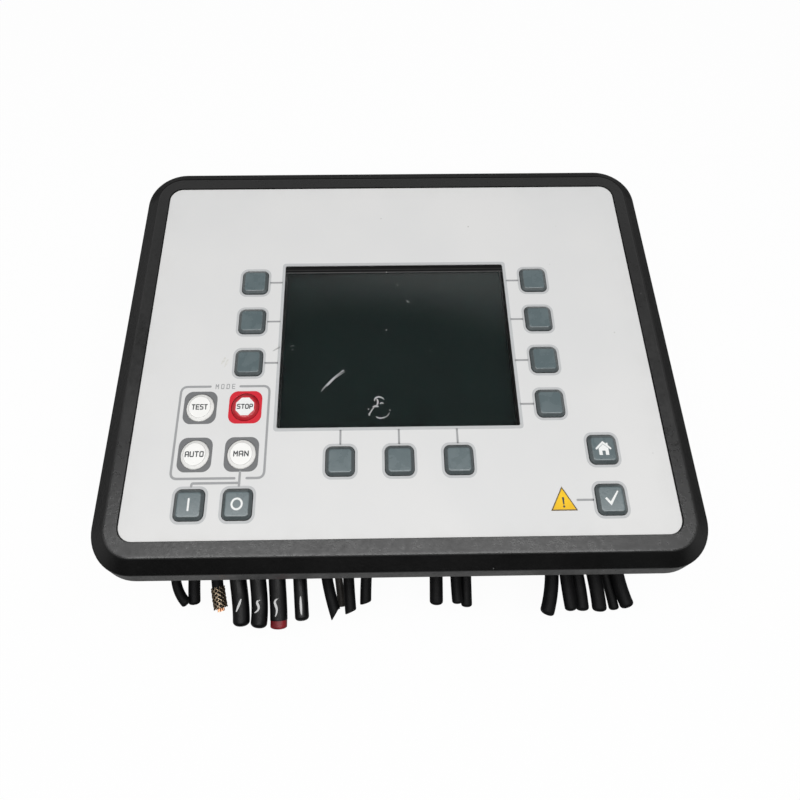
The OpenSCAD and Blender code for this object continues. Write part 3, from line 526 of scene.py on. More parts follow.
# %% The wire stubs
for number, (diameter, plug, pole, steps) in enumerate(WIRES, 1):
    name, radius = f"wire_{number:02d}", diameter / 2
    line = wire_route(plug, pole, steps)
    slant = SLANTS.get(number, 0.0)
    skin = wire_brown if number in BROWN_WIRES else wire_black
    stub = piece(f"{name}_jacket", [jacket(line, radius, slant)], skin)
    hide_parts(name)
    reach = STRAND_BARE if number == BRAIDED else -(STRAND_SUNK + slant) * radius
    rods = strands(line, radius, -(STRAND_ROOT + slant) * radius, reach)
    on_it = [piece(f"{name}_strands", rods, copper)]
    if number == BRAIDED:
        bare = line[int(BRAID_START * ROUTE_POINTS):]
        on_it.append(piece(f"{name}_braid", braid(bare, radius), braid_wire))
    if number in SLEEVES:
        start, wide, high = SLEEVES[number]
        covered = line[int(start * ROUTE_POINTS):]
        covered, tip = (covered[:-RED_SHOWS], CUT_TIP) if number == RED_END else (covered, SOFT_TIP)
        shell = sleeve(covered, wide / 2, high / 2, *tip)
        tube_finish = shrunk_tube if number in GLOSSY_SLEEVES else wire_black
        on_it.append(piece(f"{name}_sleeve", [shell], tube_finish))
    if number in FOLDS:
        pressed_up = fold(line, FOLDS[number], high / 2)
        on_it.append(piece(f"{name}_fold", [pressed_up], pressed))
    if number == RED_END:
        heading = section_axes(line)[0][-1]
        end_line = line[-1] + np.linspace(-RED_LENGTH, 0, 6)[:, None] * heading
        inner = sleeve(end_line, RED_SHARE * wide, RED_SHARE * high, *RED_TIP)
        on_it.append(piece(f"{name}_red_end", [inner], wire_red))
print("wire stubs:", len(WIRES))

# %% [markdown]
# The table is a wide pale disc. Seen by the camera, most of its brightness is a plain white of its own,
# as in a picture cut out on white, and the rest is lit, so that the shadow under the object stays. The
# same holds for reflections and for what shows through the pane, which is why those rays are added.

# %% The table
def seen_rays(s):
    """1 for what is seen, straight, mirrored or through the pane, and 0 for light that falls on things."""
    rays = s.node("LightPath").out.node.outputs
    kinds = ("Is Camera Ray", "Is Glossy Ray", "Is Transmission Ray")
    return s.math("MINIMUM", sum(Sock(s.tree, rays[kind]) for kind in kinds), 1.0)


def stage_piece(name, points, faces, shader_of):
    """A thing of the studio, which isn't part of the object, with the shader that a recipe returns."""
    mesh = bpy.data.meshes.new(name)
    mesh.from_pydata(np.asarray(points) * MM, [], [list(map(int, face)) for face in faces])
    paint = bpy.data.materials.new(f"{name}_paint")
    paint.use_nodes = True
    surface = paint.node_tree.nodes["Material Output"].inputs["Surface"]
    paint.node_tree.links.new(shader_of(Sock(paint.node_tree)).out, surface)
    mesh.materials.append(paint)
    made = bpy.data.objects.new(name, mesh)
    scene.collection.objects.link(made)
    made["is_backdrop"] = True
    return made


TABLE_RADIUS, TABLE_SIDES, TABLE_GAP = 6000, 96, 0.02
TABLE_GLOW = 0.95


def white_table(s):
    lit = s.node("BsdfDiffuse", None, {"Color": s.noise(40).mix(grey(0.9), grey(0.93))})
    white = s.node("Emission", None, {"Color": grey(1.0), "Strength": 1.0})
    return s.node("MixShader", None, {0: TABLE_GLOW * seen_rays(s), 1: lit, 2: white})


table_edge = at_height(regular(TABLE_RADIUS, TABLE_SIDES, 0), -TABLE_GAP)
stage_piece("table", table_edge, [range(TABLE_SIDES)], white_table)
print("table radius:", TABLE_RADIUS * MM, "m")

# %% [markdown]
# Black plastic in front of a white room looks grey, because its slopes mirror the room. A photographer
# lays and stands dark cards round the object for that. Here they are one bowl. Its floor is grey near the
# object and darker further out, and its wall is black in front and behind, grey to the left and right,
# and fades to white towards its rim. It glows at a set level, and only reflections see it, so it neither
# lights the object nor takes light away.

# %% Dark cards
CARD_RADIUS, CARD_HOLE, CARD_HEIGHT, CARD_LIFT, CARD_SIDES = 900, 20, 760, 0.3, 96
# Greys of the floor, near and far, and of the wall, in front and at the sides
FLOOR_NEAR, FLOOR_FAR, WALL_FRONT, WALL_SIDE = 0.28, 0.08, 0.005, 0.33
# Where each of them changes, in metres from the middle or above the table
FLOOR_TURN, SIDE_TURN, WALL_FOOT, WALL_FADE = (0.26, 0.34), (0.5, 0.87), (0.01, 0.02), (0.4, 0.76)


def card_paint(s):
    x, y, z = s.axes()
    out = (x ** 2 + y ** 2) ** 0.5
    floor = out.ease(*FLOOR_TURN).mix(grey(FLOOR_NEAR), grey(FLOOR_FAR))
    side = abs(x).ease(*SIDE_TURN).mix(grey(WALL_FRONT), grey(WALL_SIDE))
    wall = z.ease(*WALL_FADE).mix(side, grey(1.0))
    return s.node("Emission", None, {"Color": z.ease(*WALL_FOOT).mix(floor, wall), "Strength": 1.0})


profile = ((CARD_RADIUS, CARD_HEIGHT), (CARD_RADIUS, CARD_LIFT), (CARD_HOLE, CARD_LIFT))
bowl = np.concatenate([at_height(regular(radius, CARD_SIDES, 0), z) for radius, z in profile])
card = stage_piece("dark_card", bowl, grid_faces(len(profile), CARD_SIDES), card_paint)
for ray in ("camera", "diffuse", "transmission", "shadow"):
    setattr(card, f"visible_{ray}", False)
card.data.materials[0].cycles.emission_sampling = "NONE"
print("card height:", CARD_HEIGHT * MM, "m")

# %% [markdown]
# The light is a soft box overhead, a narrow strip in front of it, and a room that is white near the
# horizon and dim above. The soft box hangs where the flat rim at the lower edge mirrors it towards the
# camera, so that rim shines, while the pane and the upper rim mirror the dim ceiling and stay dark. The
# strip hangs where the eased edges of the rim and of the keys mirror it, and draws them as fine lines.
# A soft glow in the ceiling is what the upper end of the pane mirrors.

# %% The light
LIGHT_AIM = (0, -90, 97)
# Width, depth, place and power
LIGHTS = {
    "soft_box": (1200, 460, (0, -130, 1150), 9.1),
    "strip": (1200, 150, (0, -730, 1150), 3.0),
}
for name, (width, depth, place, watts) in LIGHTS.items():
    lamp = bpy.data.objects.new(name, bpy.data.lights.new(name, "AREA"))
    lamp.data.shape = "RECTANGLE"
    lamp.data.size, lamp.data.size_y = width * MM, depth * MM
    lamp.data.energy = watts
    lamp.visible_camera = False
    aim = (np.array(LIGHT_AIM) - place) / np.linalg.norm(np.array(LIGHT_AIM) - place)
    lamp_side = np.array((1.0, 0, 0))
    lamp_axes = Matrix(np.stack([lamp_side, np.cross(-aim, lamp_side), -aim], 1)).to_4x4()
    lamp.matrix_world = Matrix.Translation(np.array(place) * MM) @ lamp_axes
    scene.collection.objects.link(lamp)

ROOM_LIGHT, CEILING, CEILING_START = 0.25, 0.13, (0.71, 0.92)
GLOW, GLOW_CENTRE, GLOW_REACH = 0.95, 0.07, 0.28
GLOW_START, GLOW_END = (0.835, 0.87), (0.872, 0.915)
world = bpy.data.worlds.new("room")
scene.world = world
world.use_nodes = True
room = Sock(world.node_tree)
sideways, _, height = room.node("TexCoord", out="Generated").split()
band = height.ease(*GLOW_START) * (1 - height.ease(*GLOW_END))
glow = band * (1 - abs(sideways - GLOW_CENTRE).ease(0, GLOW_REACH))
walls_and_ceiling = (height.ease(*CEILING_START) * (1 - GLOW * glow)).mix(grey(1.0), grey(CEILING))
lit_room = seen_rays(room).mix(grey(ROOM_LIGHT), walls_and_ceiling)
background = world.node_tree.nodes["Background"]
world.node_tree.links.new(lit_room.out, background.inputs["Color"])
background.inputs["Strength"].default_value = 1.0
print("lights:", list(LIGHTS))

# %% [markdown]
# The bezel and the rear housing are moulded in black plastic whose mould was spark-eroded, which leaves a
# fine pebbled grain that breaks up the shine. Noise at two scales gives the grain as a bump, a slower one
# gives the dull patches left by handling, and a few cells of a Voronoi pattern become specks of dust. The
# chamfer and its eased edges, which face neither up nor sideways, have been rubbed smooth.

# %% Moulded black plastic
def moulded_black(s, tone, grain, depth, shine, dust):
    pebbles = 0.6 * s.noise(grain, 2) + 0.4 * s.noise(grain * 3, 1)
    handling = s.noise(28, 4).ease(0.4, 0.7)
    blots = s.noise(1.9, 1)
    level = s.upward()
    slope = level.ease(0.5, 0.6) * (1 - level.ease(0.965, 0.99))
    plain = (0.7 * pebbles + 0.3 * handling).mix(grey(tone * 0.6), grey(tone * 1.5))
    worn = (0.5 * s.specks(1.7, 0.2)).mix(plain, grey(0.05))
    return {
        "Base Color": s.specks(5, dust).mix(worn, grey(0.14)),
        "Roughness": (0.14 + 0.06 * handling + 0.08 * pebbles + 0.24 * blots) * (1 - 0.6 * slope),
        "Specular IOR Level": shine,
        "Normal": s.bump(pebbles, depth, 0.8),
    }


dress(["front_bezel"], "bezel_plastic", moulded_black, 0.007, 0.65, 0.09, 0.48, 0.06)
dress(["rear_housing"], "housing_plastic", moulded_black, 0.035, 0.7, 0.12, 0.45, 0.05)

# %% [markdown]
# The front film is polycarbonate with a fine matt texture, printed on its back in a light grey. It has
# gone a little warmer where it was wiped least, near the rim, and fine dirt sits in its texture.

# %% The front film
def printed_film(s):
    x, y, _ = s.axes()
    half_width, half_height, _ = (float(v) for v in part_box("front_overlay")[1])
    to_rim = s.math("MAXIMUM", abs(x / half_width), abs(y / half_height))
    rim_dirt = to_rim.ease(0.9, 1.0) * s.noise(9, 4).ease(0.35, 0.7)
    cloud = s.noise(60, 3)
    clean = cloud.ease(0.3, 0.7).mix((0.69, 0.692, 0.69, 1), (0.718, 0.716, 0.71, 1))
    dirty = (0.07 * rim_dirt).mix(clean, (0.46, 0.44, 0.41, 1))
    return {
        "Base Color": (0.7 * s.specks(7, 0.06)).mix(dirty, (0.3, 0.29, 0.27, 1)),
        "Roughness": 0.4 + 0.14 * s.noise(16, 3),
        "Specular IOR Level": 0.25,
        "Normal": s.bump(s.noise(0.25, 2), 0.008, 0.6),
    }


dress(["front_overlay"], "printed_film", printed_film)

# %% [markdown]
# The grey keys and the mode keys are hard silicone with a satin coat. On their tops what shows is a fine
# grain, a slightly lighter worn patch in the middle, and dust. Their slopes get a colour of their own from
# the way they face. On the grey keys and the red key this is painted shade, darker than the top. On the
# white keys it is a hair lighter than the top.

# %% Key rubber
def key_rubber(s, colour, worn, slope, rough):
    grain = s.noise(0.35, 2)
    patch = s.noise(5, 3).ease(0.35, 0.75)
    top = (0.6 * patch + 0.4 * grain).mix((*colour, 1), (*worn, 1))
    # Painted shade: where the surface turns from level to sloped, the slope colour takes over. It is darker
    # than the top on the grey and red keys, and a hair lighter on the white ones.
    top_and_painted_sides = s.upward().ease(0.82, 0.98).mix((*slope, 1), top)
    return {
        "Base Color": (0.75 * s.specks(3, 0.06)).mix(top_and_painted_sides, grey(0.42)),
        "Roughness": rough + 0.12 * patch,
        "Specular IOR Level": 0.45,
        "Coat Weight": 0.3 + 0.25 * s.noise(7),
        "Coat Roughness": 0.12,
        "Normal": s.bump(grain, 0.015, 0.6),
    }


MODE_KEYS = ("key_test", "key_auto", "key_manual")
OTHER_KEYS = (*MODE_KEYS, "key_stop", "key_mat")
GREY_KEYS = [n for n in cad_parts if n.startswith("key_") and n not in OTHER_KEYS]
# Top colour, worn patch colour, slope colour (painted shade on the grey and red keys), roughness
dress(GREY_KEYS, "key_grey", key_rubber,
      (0.09, 0.124, 0.133), (0.112, 0.148, 0.157), (0.068, 0.082, 0.085), 0.24)
dress(MODE_KEYS, "key_white", key_rubber,
      (0.88, 0.875, 0.85), (0.91, 0.905, 0.885), (0.92, 0.915, 0.89), 0.34)
dress(["key_stop"], "key_red", key_rubber,
      (0.5, 0.006, 0.018), (0.56, 0.008, 0.024), (0.42, 0.005, 0.014), 0.34)
print("grey keys:", len(GREY_KEYS))

# %% [markdown]
# Behind the pane, a display that is off is a very dark green-grey sheet with a fine dot grid, in a bent
# frame of blackened sheet metal. The pane is clear acrylic. Its gloss comes from the shader alone, so it
# works in any light.

# %% Display and pane
DOT_PITCH = 0.36


def display_sheet(s):
    x, y, _ = s.axes()
    gaps = [abs(s.math("FRACT", axis / (DOT_PITCH * MM)) - 0.5).ease(0.38, 0.46) for axis in (x, y)]
    sheet = s.noise(50).mix((0.003, 0.0095, 0.0088, 1), (0.004, 0.0125, 0.0115, 1))
    return {
        "Base Color": s.math("MAXIMUM", *gaps).mix(sheet, (0.0026, 0.0078, 0.0072, 1)),
        "Roughness": 0.5 + 0.1 * s.noise(12),
        "Specular IOR Level": 0.05,
    }


def blackened_sheet(s):
    rolled = s.node("Mapping", None, {"Vector": s.place(), "Scale": (40, 1500, 1)})
    drawn = s.node("TexNoise", {"noise_dimensions": "2D"}, {"Vector": rolled, "Scale": 1.0})
    return {
        "Base Color": drawn.mix(grey(0.005), grey(0.012)),
        "Roughness": 0.3 + 0.15 * drawn,
        "Specular IOR Level": 0.4,
    }


def clear_pane(s):
    return {
        "Base Color": s.noise(30).mix((0.93, 0.97, 0.955, 1), (0.96, 0.985, 0.975, 1)),
        "Roughness": 0.02 + 0.04 * s.noise(20, 1),
        "IOR": 1.4,
        "Transmission Weight": 1.0,
    }


dress(["lcd_panel"], "display_sheet", display_sheet)
dress(["lcd_frame"], "blackened_sheet", blackened_sheet)
dress(["display_window"], "clear_pane", clear_pane)

# %% [markdown]
# Inside, and through the vents, show green boards with printed tracks, relays, a ribbon cable and screws.
# The tracks are a Brick pattern squeezed into long thin strips, and the pads are small Voronoi dots.

# %% Boards and what is on them
def circuit_board(s):
    tracks = s.node("TexBrick", {"offset": 0.35, "squash": 1.0},
                    {"Vector": s.place(), "Scale": 1.0, "Mortar Size": 0.0003, "Mortar Smooth": 0.2,
                     "Brick Width": 0.011, "Row Height": 0.0022}, out="Fac")
    pads = s.specks(4.5, 0.5)
    mask = tracks.mix((0.012, 0.085, 0.035, 1), (0.03, 0.17, 0.07, 1))
    return {
        "Base Color": pads.mix(mask, (0.62, 0.6, 0.55, 1)),
        "Metallic": pads,
        "Roughness": 0.3 + 0.1 * s.noise(8),
        "Normal": s.bump(tracks, 0.03, 0.6),
    }


def plain_moulding(s, colour, rough):
    grain = s.noise(0.5, 2)
    tone = np.array(colour)
    return {
        "Base Color": s.noise(9, 4).mix((*(tone * 0.85), 1), (*np.minimum(tone * 1.15, 0.95), 1)),
        "Roughness": rough + 0.12 * s.noise(5),
        "Normal": s.bump(grain, 0.02, 0.5),
    }


# Width of a ribbon's lane, and where its red mark ends, counted from the edge
LANE, MARK_END, MARK_SURE = 1.27, 1.3, 1.2


def ribbon_core(s):
    x, _, _ = s.axes()
    lane = s.math("FRACT", x / (LANE * MM))
    groove = abs(lane - 0.5).ease(0.38, 0.5)
    edge = float(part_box("ribbon_cable")[1][0])
    marked = x.ease(edge - MARK_END * MM, edge - MARK_SURE * MM)
    return {
        "Base Color": marked.mix(groove.mix(grey(0.42), grey(0.2)), (0.45, 0.03, 0.03, 1)),
        "Roughness": 0.45 + 0.1 * s.noise(4),
        "Normal": s.bump(1 - groove, 0.2, 0.8),
    }


def plated_metal(s, colour, rough):
    tone = np.array(colour)
    return {
        "Base Color": s.noise(2.5, 4).mix((*(tone * 0.8), 1), (*tone, 1)),
        "Metallic": 1.0,
        "Roughness": rough + 0.18 * s.noise(1.2, 3),
        "Normal": s.bump(s.noise(0.3), 0.01, 0.5),
    }


dress(["main_board", "keypad_board"], "circuit_board", circuit_board)
dress(["relays"], "relay_case", plain_moulding, (0.62, 0.3, 0.04), 0.3)
dress(["board_connectors"], "connector_black", plain_moulding, (0.014, 0.014, 0.015), 0.4)
dress(["ribbon_cable"], "ribbon_core", ribbon_core)
dress(["key_mat"], "mat_silicone", plain_moulding, (0.5, 0.5, 0.47), 0.55)
dress(["panel_gasket"], "seal_rubber", plain_moulding, (0.008, 0.008, 0.008), 0.75)
dress(["terminal_plugs", "terminal_headers"], "terminal_green", plain_moulding, (0.024, 0.2, 0.05), 0.32)
dress(["keypad_screws", "main_board_screws", "housing_screws", "terminal_screws"],
      "zinc_plate", plated_metal, (0.7, 0.7, 0.72), 0.22)
dress(["threaded_inserts"], "brass", plated_metal, (0.78, 0.55, 0.2), 0.25)
dress(["earth_tab"], "tin_plate", plated_metal, (0.72, 0.7, 0.66), 0.28)

# %% [markdown]
# The alarm lamp's lens is a small amber triangle of clear plastic over a light guide. Its colour is a
# painted glow: it is brighter in the middle, where its guide stands, and falls off with the distance from
# its centre.

# %% The alarm lens
def amber_lens(s):
    low, high = (np.array(corner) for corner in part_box("alarm_lens"))
    centre = (low + high) / 2
    x, y, _ = s.axes()
    away = ((x - float(centre[0])) ** 2 + (y - float(centre[1])) ** 2) ** 0.5
    # Painted light: the lens is painted brighter near its centre, as if lit from the guide below it.
    glow = (1 - away.ease(0.0, 0.0065)) * 0.7 + 0.3 * s.noise(2.5, 3)
    return {
        "Base Color": glow.mix((0.79, 0.46, 0.006, 1), (0.94, 0.59, 0.01, 1)),
        "Roughness": 0.3 + 0.15 * s.noise(1.5),
        "Specular IOR Level": 0.2,
        "Normal": s.bump(s.noise(0.4), 0.01, 0.4),
    }


dress(["alarm_lens"], "amber_lens", amber_lens)

# %% [markdown]
# The print on the film is ink: rings round the keys, a frame round the display, lines that lead from the
# display to its keys, and a box round the four mode keys. A texture could hold it, but flat shapes a
# twentieth of a millimetre thick stay sharp at any distance. A rounded square is a circle whose quarters
# are moved apart; a ring joins two such outlines; a pen line moves its points to both sides.

# %% Outlines
ARC = 8


def rounded_box(width, height, radius, centre=(0, 0)):
    """Quarter circles at the corners of a smaller box, one after the other."""
    angle = (np.arange(4)[:, None] * 0.5 + np.linspace(0, 0.5, ARC)[None, :]).ravel() * np.pi
    quarter = np.repeat(np.array([(1, 1), (-1, 1), (-1, -1), (1, -1)]), ARC, axis=0)
    corner = quarter * (np.array((width, height)) / 2 - radius)
    return corner + radius * np.stack([np.cos(angle), np.sin(angle)], 1) + centre


def ring(outer, inner, low, high):
    """A flat ring: the outer and inner outlines at two heights, joined all the way round."""
    loops = [at_height(outer, low), at_height(outer, high), at_height(inner, high), at_height(inner, low)]
    return np.concatenate(loops), grid_faces(4, len(outer), wrap_rows=True)


def pen_line(points, width):
    """Outline of a pen line: each point moves half the width to both sides, further at a corner, so that
    the line keeps its width there, and half circles end it."""
    p = np.array(points, float)
    d = np.diff(p, axis=0)
    d /= np.linalg.norm(d, axis=1, keepdims=True)
    n = np.stack([-d[:, 1], d[:, 0]], 1)
    corner = (n[:-1] + n[1:]) / (1 + (n[:-1] * n[1:]).sum(1, keepdims=True))
    off = np.concatenate([n[:1], corner, n[-1:]]) * width / 2
    half = np.linspace(0, np.pi, 9)[1:-1, None]
    end = p[-1] + (np.cos(half) * n[-1] + np.sin(half) * d[-1]) * width / 2
    start = p[0] - (np.cos(half) * n[0] + np.sin(half) * d[0]) * width / 2
    return np.concatenate([p + off, end, (p - off)[::-1], start])[::-1]


def rounded_path(points, radius):
    """A path whose corners become short curves that start and end at a distance from the corner."""
    p = np.array(points, float)
    if len(p) < 3:
        return p
    before, after = p[:-2] - p[1:-1], p[2:] - p[1:-1]
    a = p[1:-1] + radius * before / np.linalg.norm(before, axis=1, keepdims=True)
    b = p[1:-1] + radius * after / np.linalg.norm(after, axis=1, keepdims=True)
    t = np.linspace(0, 1, 7)[None, :, None]
    curves = (1 - t) ** 2 * a[:, None] + 2 * t * (1 - t) * p[1:-1, None] + t ** 2 * b[:, None]
    return np.concatenate([p[:1], curves.reshape(-1, 2), p[-1:]])


# %% [markdown]
# Screen-printed ink is thin and slightly uneven: it varies a little in strength and gloss and has pinholes
# that show the film. The same recipe serves every colour of ink.

# %% Ink
def screen_ink(s, colour):
    tone = np.array(colour)
    strength = 0.6 * s.noise(2.2, 3) + 0.4 * s.noise(0.4, 2)
    closed = strength.mix((*(tone * 0.9), 1), (*np.minimum(tone * 1.1, 0.95), 1))
    return {
        "Base Color": s.specks(2.5, 0.05).mix(closed, (*(0.5 * tone + 0.3), 1)),
        "Roughness": 0.45 + 0.1 * s.noise(3),
        "Specular IOR Level": 0.25,
        "Normal": s.bump(s.noise(0.3), 0.004, 0.5),
    }


# Inks of the print, and one grey for the rings of painted shade at the edges of the white keys' tops
INKS = {
    "light": (0.5, 0.51, 0.515), "line": (0.33, 0.335, 0.34), "mid": (0.162, 0.166, 0.17),
    "red": (0.61, 0.012, 0.028), "dark": (0.05, 0.055, 0.058), "white": (0.82, 0.83, 0.82),
    "faint": (0.6, 0.6, 0.58),
}
ink = {name: finish(f"ink_{name}", screen_ink, colour) for name, colour in INKS.items()}
print("inks:", *INKS)

# %% Places of the keys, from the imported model
def centre_of(node):
    low, high = (np.array(corner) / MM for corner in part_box(node))
    return ((low + high) / 2)[:2]


def top_of(node):
    return float(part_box(node)[1][2]) / MM


# Ink lies a hair above its ground, and each stroke of a sign ends a little higher than the one before
INK_LIFT, INK_THICK, STROKE_STEP = 0.01, 0.04, 0.003
INK_LOW = top_of("front_overlay") + INK_LIFT
INK_HIGH = INK_LOW + INK_THICK
key_at = {name: centre_of(name) for name in (*GREY_KEYS, *MODE_KEYS, "key_stop")}
window_low, window_high = (np.array(corner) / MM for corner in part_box("display_window"))
PANE_LAP = 2.0
WINDOW = np.concatenate([window_low[:2] + PANE_LAP, window_high[:2] - PANE_LAP])
print("window:", WINDOW.round(1).tolist())

# %% Rings round the keys and the frame round the display
HALO, HALO_R, KEY_HOLE, KEY_HOLE_R = 16.4, 4.0, 14.0, 3.0
WINDOW_FRAME, FRAME_R, WINDOW_R = 1.5, 1.6, 1.0


def square(side, radius, key):
    """A rounded square round a key."""
    return rounded_box(side, side, radius, key_at[key])


light_shapes = [
    ring(square(HALO, HALO_R, k), square(KEY_HOLE, KEY_HOLE_R, k), INK_LOW, INK_HIGH) for k in GREY_KEYS
]
window_size = WINDOW[2:] - WINDOW[:2]
window_centre = (WINDOW[2:] + WINDOW[:2]) / 2
frame_outside = rounded_box(*(window_size + 2 * WINDOW_FRAME), FRAME_R, window_centre)
frame_inside = rounded_box(*window_size, WINDOW_R, window_centre)
light_shapes.append(ring(frame_outside, frame_inside, INK_LOW, INK_HIGH))

# %% Lines that lead from the display to its keys
LINE, LEAD, CHECK_LEAD_X = 1.1, 0.95, 80.6
half_halo = HALO / 2
leads = []
for name in GREY_KEYS:
    x, y = key_at[name]
    if name.startswith(("key_left", "key_right")):
        edge = WINDOW[2] + WINDOW_FRAME
        leads.append([(np.sign(x) * edge, y), (x - np.sign(x) * half_halo, y)])
    elif name.startswith("key_bottom"):
        leads.append([(x, WINDOW[1] - WINDOW_FRAME), (x, y + half_halo)])
check_x, check_y = key_at["key_check"]
leads.append([(CHECK_LEAD_X, check_y), (check_x - half_halo, check_y)])
line_shapes = [plate(pen_line(points, LEAD), INK_LOW, INK_HIGH) for points in leads]

# %% The box round the mode keys, and the lines under it
BOX_LEFT, BOX_RIGHT, BOX_TOP, BOX_BOTTOM, BOX_R = -106.1, -62.9, -23.4, -67.3, 3.2
TOP_GAP, BOTTOM_GAP = (-92.0, -77.3), (-76.5, -70.8)
BRANCH_Y, BRANCH_R = -69.4, 0.8


def half_box(side, top_end, bottom_end):
    """Half of the box: from the gap in its top round one side to the gap in its bottom."""
    return [(top_end, BOX_TOP), (side, BOX_TOP), (side, BOX_BOTTOM), (bottom_end, BOX_BOTTOM)]


box_left = half_box(BOX_LEFT, TOP_GAP[0], BOTTOM_GAP[0])
box_right = half_box(BOX_RIGHT, TOP_GAP[1], BOTTOM_GAP[1])
MODE_SQUARE, MODE_SQUARE_R, MODE_HOLE_R = 16.0, 4.0, 6.86
manual_x, manual_y = key_at["key_manual"]
close_x, close_y = key_at["key_close"]
halo_top = close_y + half_halo
down = [(manual_x, manual_y - MODE_SQUARE / 2), (manual_x, halo_top)]
branch = [(manual_x, BRANCH_Y), (close_x, BRANCH_Y), (close_x, halo_top)]
for k, points in enumerate((box_left, box_right, down, branch)):
    path = rounded_path(points, BOX_R if len(points) > 3 else BRANCH_R)
    line_shapes.append(plate(pen_line(path, LINE), INK_LOW, INK_HIGH + k * STROKE_STEP))
piece("print_light", light_shapes, ink["light"])
piece("print_lines", line_shapes, ink["line"])
print("rings:", len(light_shapes), "lines:", len(line_shapes))

# %% Squares under the mode keys
# A hair less than a quarter turn, in half turns, so that no two points of the hole meet
SHORT_QUARTER = 0.499


def mode_square(name):
    """A rounded square round a round hole, with as many points on both outlines."""
    outer = square(MODE_SQUARE, MODE_SQUARE_R, name)
    angle = (np.arange(4)[:, None] * 0.5 + np.linspace(0, SHORT_QUARTER, ARC)[None, :]).ravel() * np.pi
    hole = key_at[name] + MODE_HOLE_R * np.stack([np.cos(angle), np.sin(angle)], 1)
    return ring(outer, hole, INK_LOW, INK_HIGH)


piece("print_mode_squares", [mode_square(k) for k in MODE_KEYS], ink["mid"])
piece("print_stop_square", [mode_square("key_stop")], ink["red"])
print("squares:", len(MODE_KEYS) + 1)

# %% [markdown]
# The words on the mode keys are plain control words in a single-line drawing alphabet: each letter is one
# to four pen paths in a box one unit high. Text objects would need a font, and their outlines are heavier.

# %% A drawing alphabet
W = 0.56
LETTERS = {
    "A": ([(0, 0), (0, 1), (W, 1), (W, 0)], [(0, 0.4), (W, 0.4)]),
    "D": ([(0, 0), (0, 1), (W, 1), (W, 0), (0, 0)],),
    "E": ([(W, 1), (0, 1)], [(0, 1), (0, 0)], [(0, 0), (W, 0)], [(0, 0.5), (0.9 * W, 0.5)]),
    "M": ([(0, 0), (0, 1)], [(0, 1), (W / 2, 0.45)], [(W / 2, 0.45), (W, 1)], [(W, 1), (W, 0)]),
    "N": ([(0, 0), (0, 1)], [(0, 1), (W, 0)], [(W, 0), (W, 1)]),
    "O": ([(W / 2, 0), (0, 0), (0, 1), (W, 1), (W, 0), (W / 2, 0)],),
    "P": ([(0, 0), (0, 1), (W, 1), (W, 0.42), (0, 0.42)],),
    "S": ([(W, 1), (0, 1), (0, 0.52), (W, 0.52), (W, 0), (0, 0)],),
    "T": ([(0, 1), (W, 1)], [(W / 2, 1), (W / 2, 0)]),
    "U": ([(0, 1), (0, 0), (W, 0), (W, 1)],),
}
BEND = 0.18


def word(text, size, centre, low, pen, gap=0.3, stretch=1.0):
    """The letters' pen paths side by side, centred on a point and laid just above a surface. Each stroke of
    a letter ends a hair higher than the one before, so that no two tops lie in one plane."""
    width = len(text) * W + (len(text) - 1) * gap
    shapes = []
    for i, letter in enumerate(text):
        for k, path in enumerate(LETTERS[letter]):
            letter_path = rounded_path(path, BEND) + (i * (W + gap) - width / 2, -0.5)
            outline = pen_line(letter_path * (size * stretch, size) + centre, pen * size)
            shapes.append(plate(outline, low, low + INK_THICK + k * STROKE_STEP))
    return shapes


MODE_LABEL, WORD_SIZE = (-84.65, -23.4), 2.2
LABEL_PEN, LABEL_GAP, WORD_PEN = 0.17, 0.66, 0.23
label = word("MODE", WORD_SIZE, MODE_LABEL, INK_LOW, LABEL_PEN, LABEL_GAP)
piece("print_mode_word", label, ink["line"])
print("letters:", *LETTERS)

# %% Signs on the mode keys
def sign(key, shapes, colour):
    return piece(f"sign_{key}", shapes, ink[colour], key)


# Each key's word and how far its letters are stretched
MODE_WORDS = {"key_test": ("TEST", 1.04), "key_auto": ("AUTO", 1.2), "key_manual": ("MAN", 1.33)}
# Radii, thickness and points of a thin grey ring at the edge of each white key's top. The ring is painted
# shade at the key's edge.
KEY_RIM, RIM_THICK, RIM_SIDES = (5.35, 5.1), 0.03, 48
for key, (text, stretch) in MODE_WORDS.items():
    low = top_of(key) + INK_LIFT
    sign(key, word(text, WORD_SIZE, key_at[key], low, WORD_PEN, stretch=stretch), "dark")
    outer, inner = (regular(radius, RIM_SIDES, 0, key_at[key]) for radius in KEY_RIM)
    piece(f"rim_{key}", [ring(outer, inner, low, low + RIM_THICK)], ink["faint"], key)
STOP_FIELD, STOP_SIZE, STOP_PEN, STOP_STRETCH = 4.35, 2.0, 0.24, 1.16
stop_at = key_at["key_stop"]
stop_low = top_of("key_stop") + INK_LIFT
stop_high = stop_low + INK_THICK
octagon = regular(STOP_FIELD / np.cos(np.pi / 8), 8, 22.5, stop_at)
piece("sign_key_stop_field", [plate(octagon, stop_low, stop_high)], ink["white"], "key_stop")
stop_word = word("STOP", STOP_SIZE, stop_at, stop_high + INK_LIFT, STOP_PEN, stretch=STOP_STRETCH)
sign("key_stop", stop_word, "dark")
print("words:", [text for text, _ in MODE_WORDS.values()])

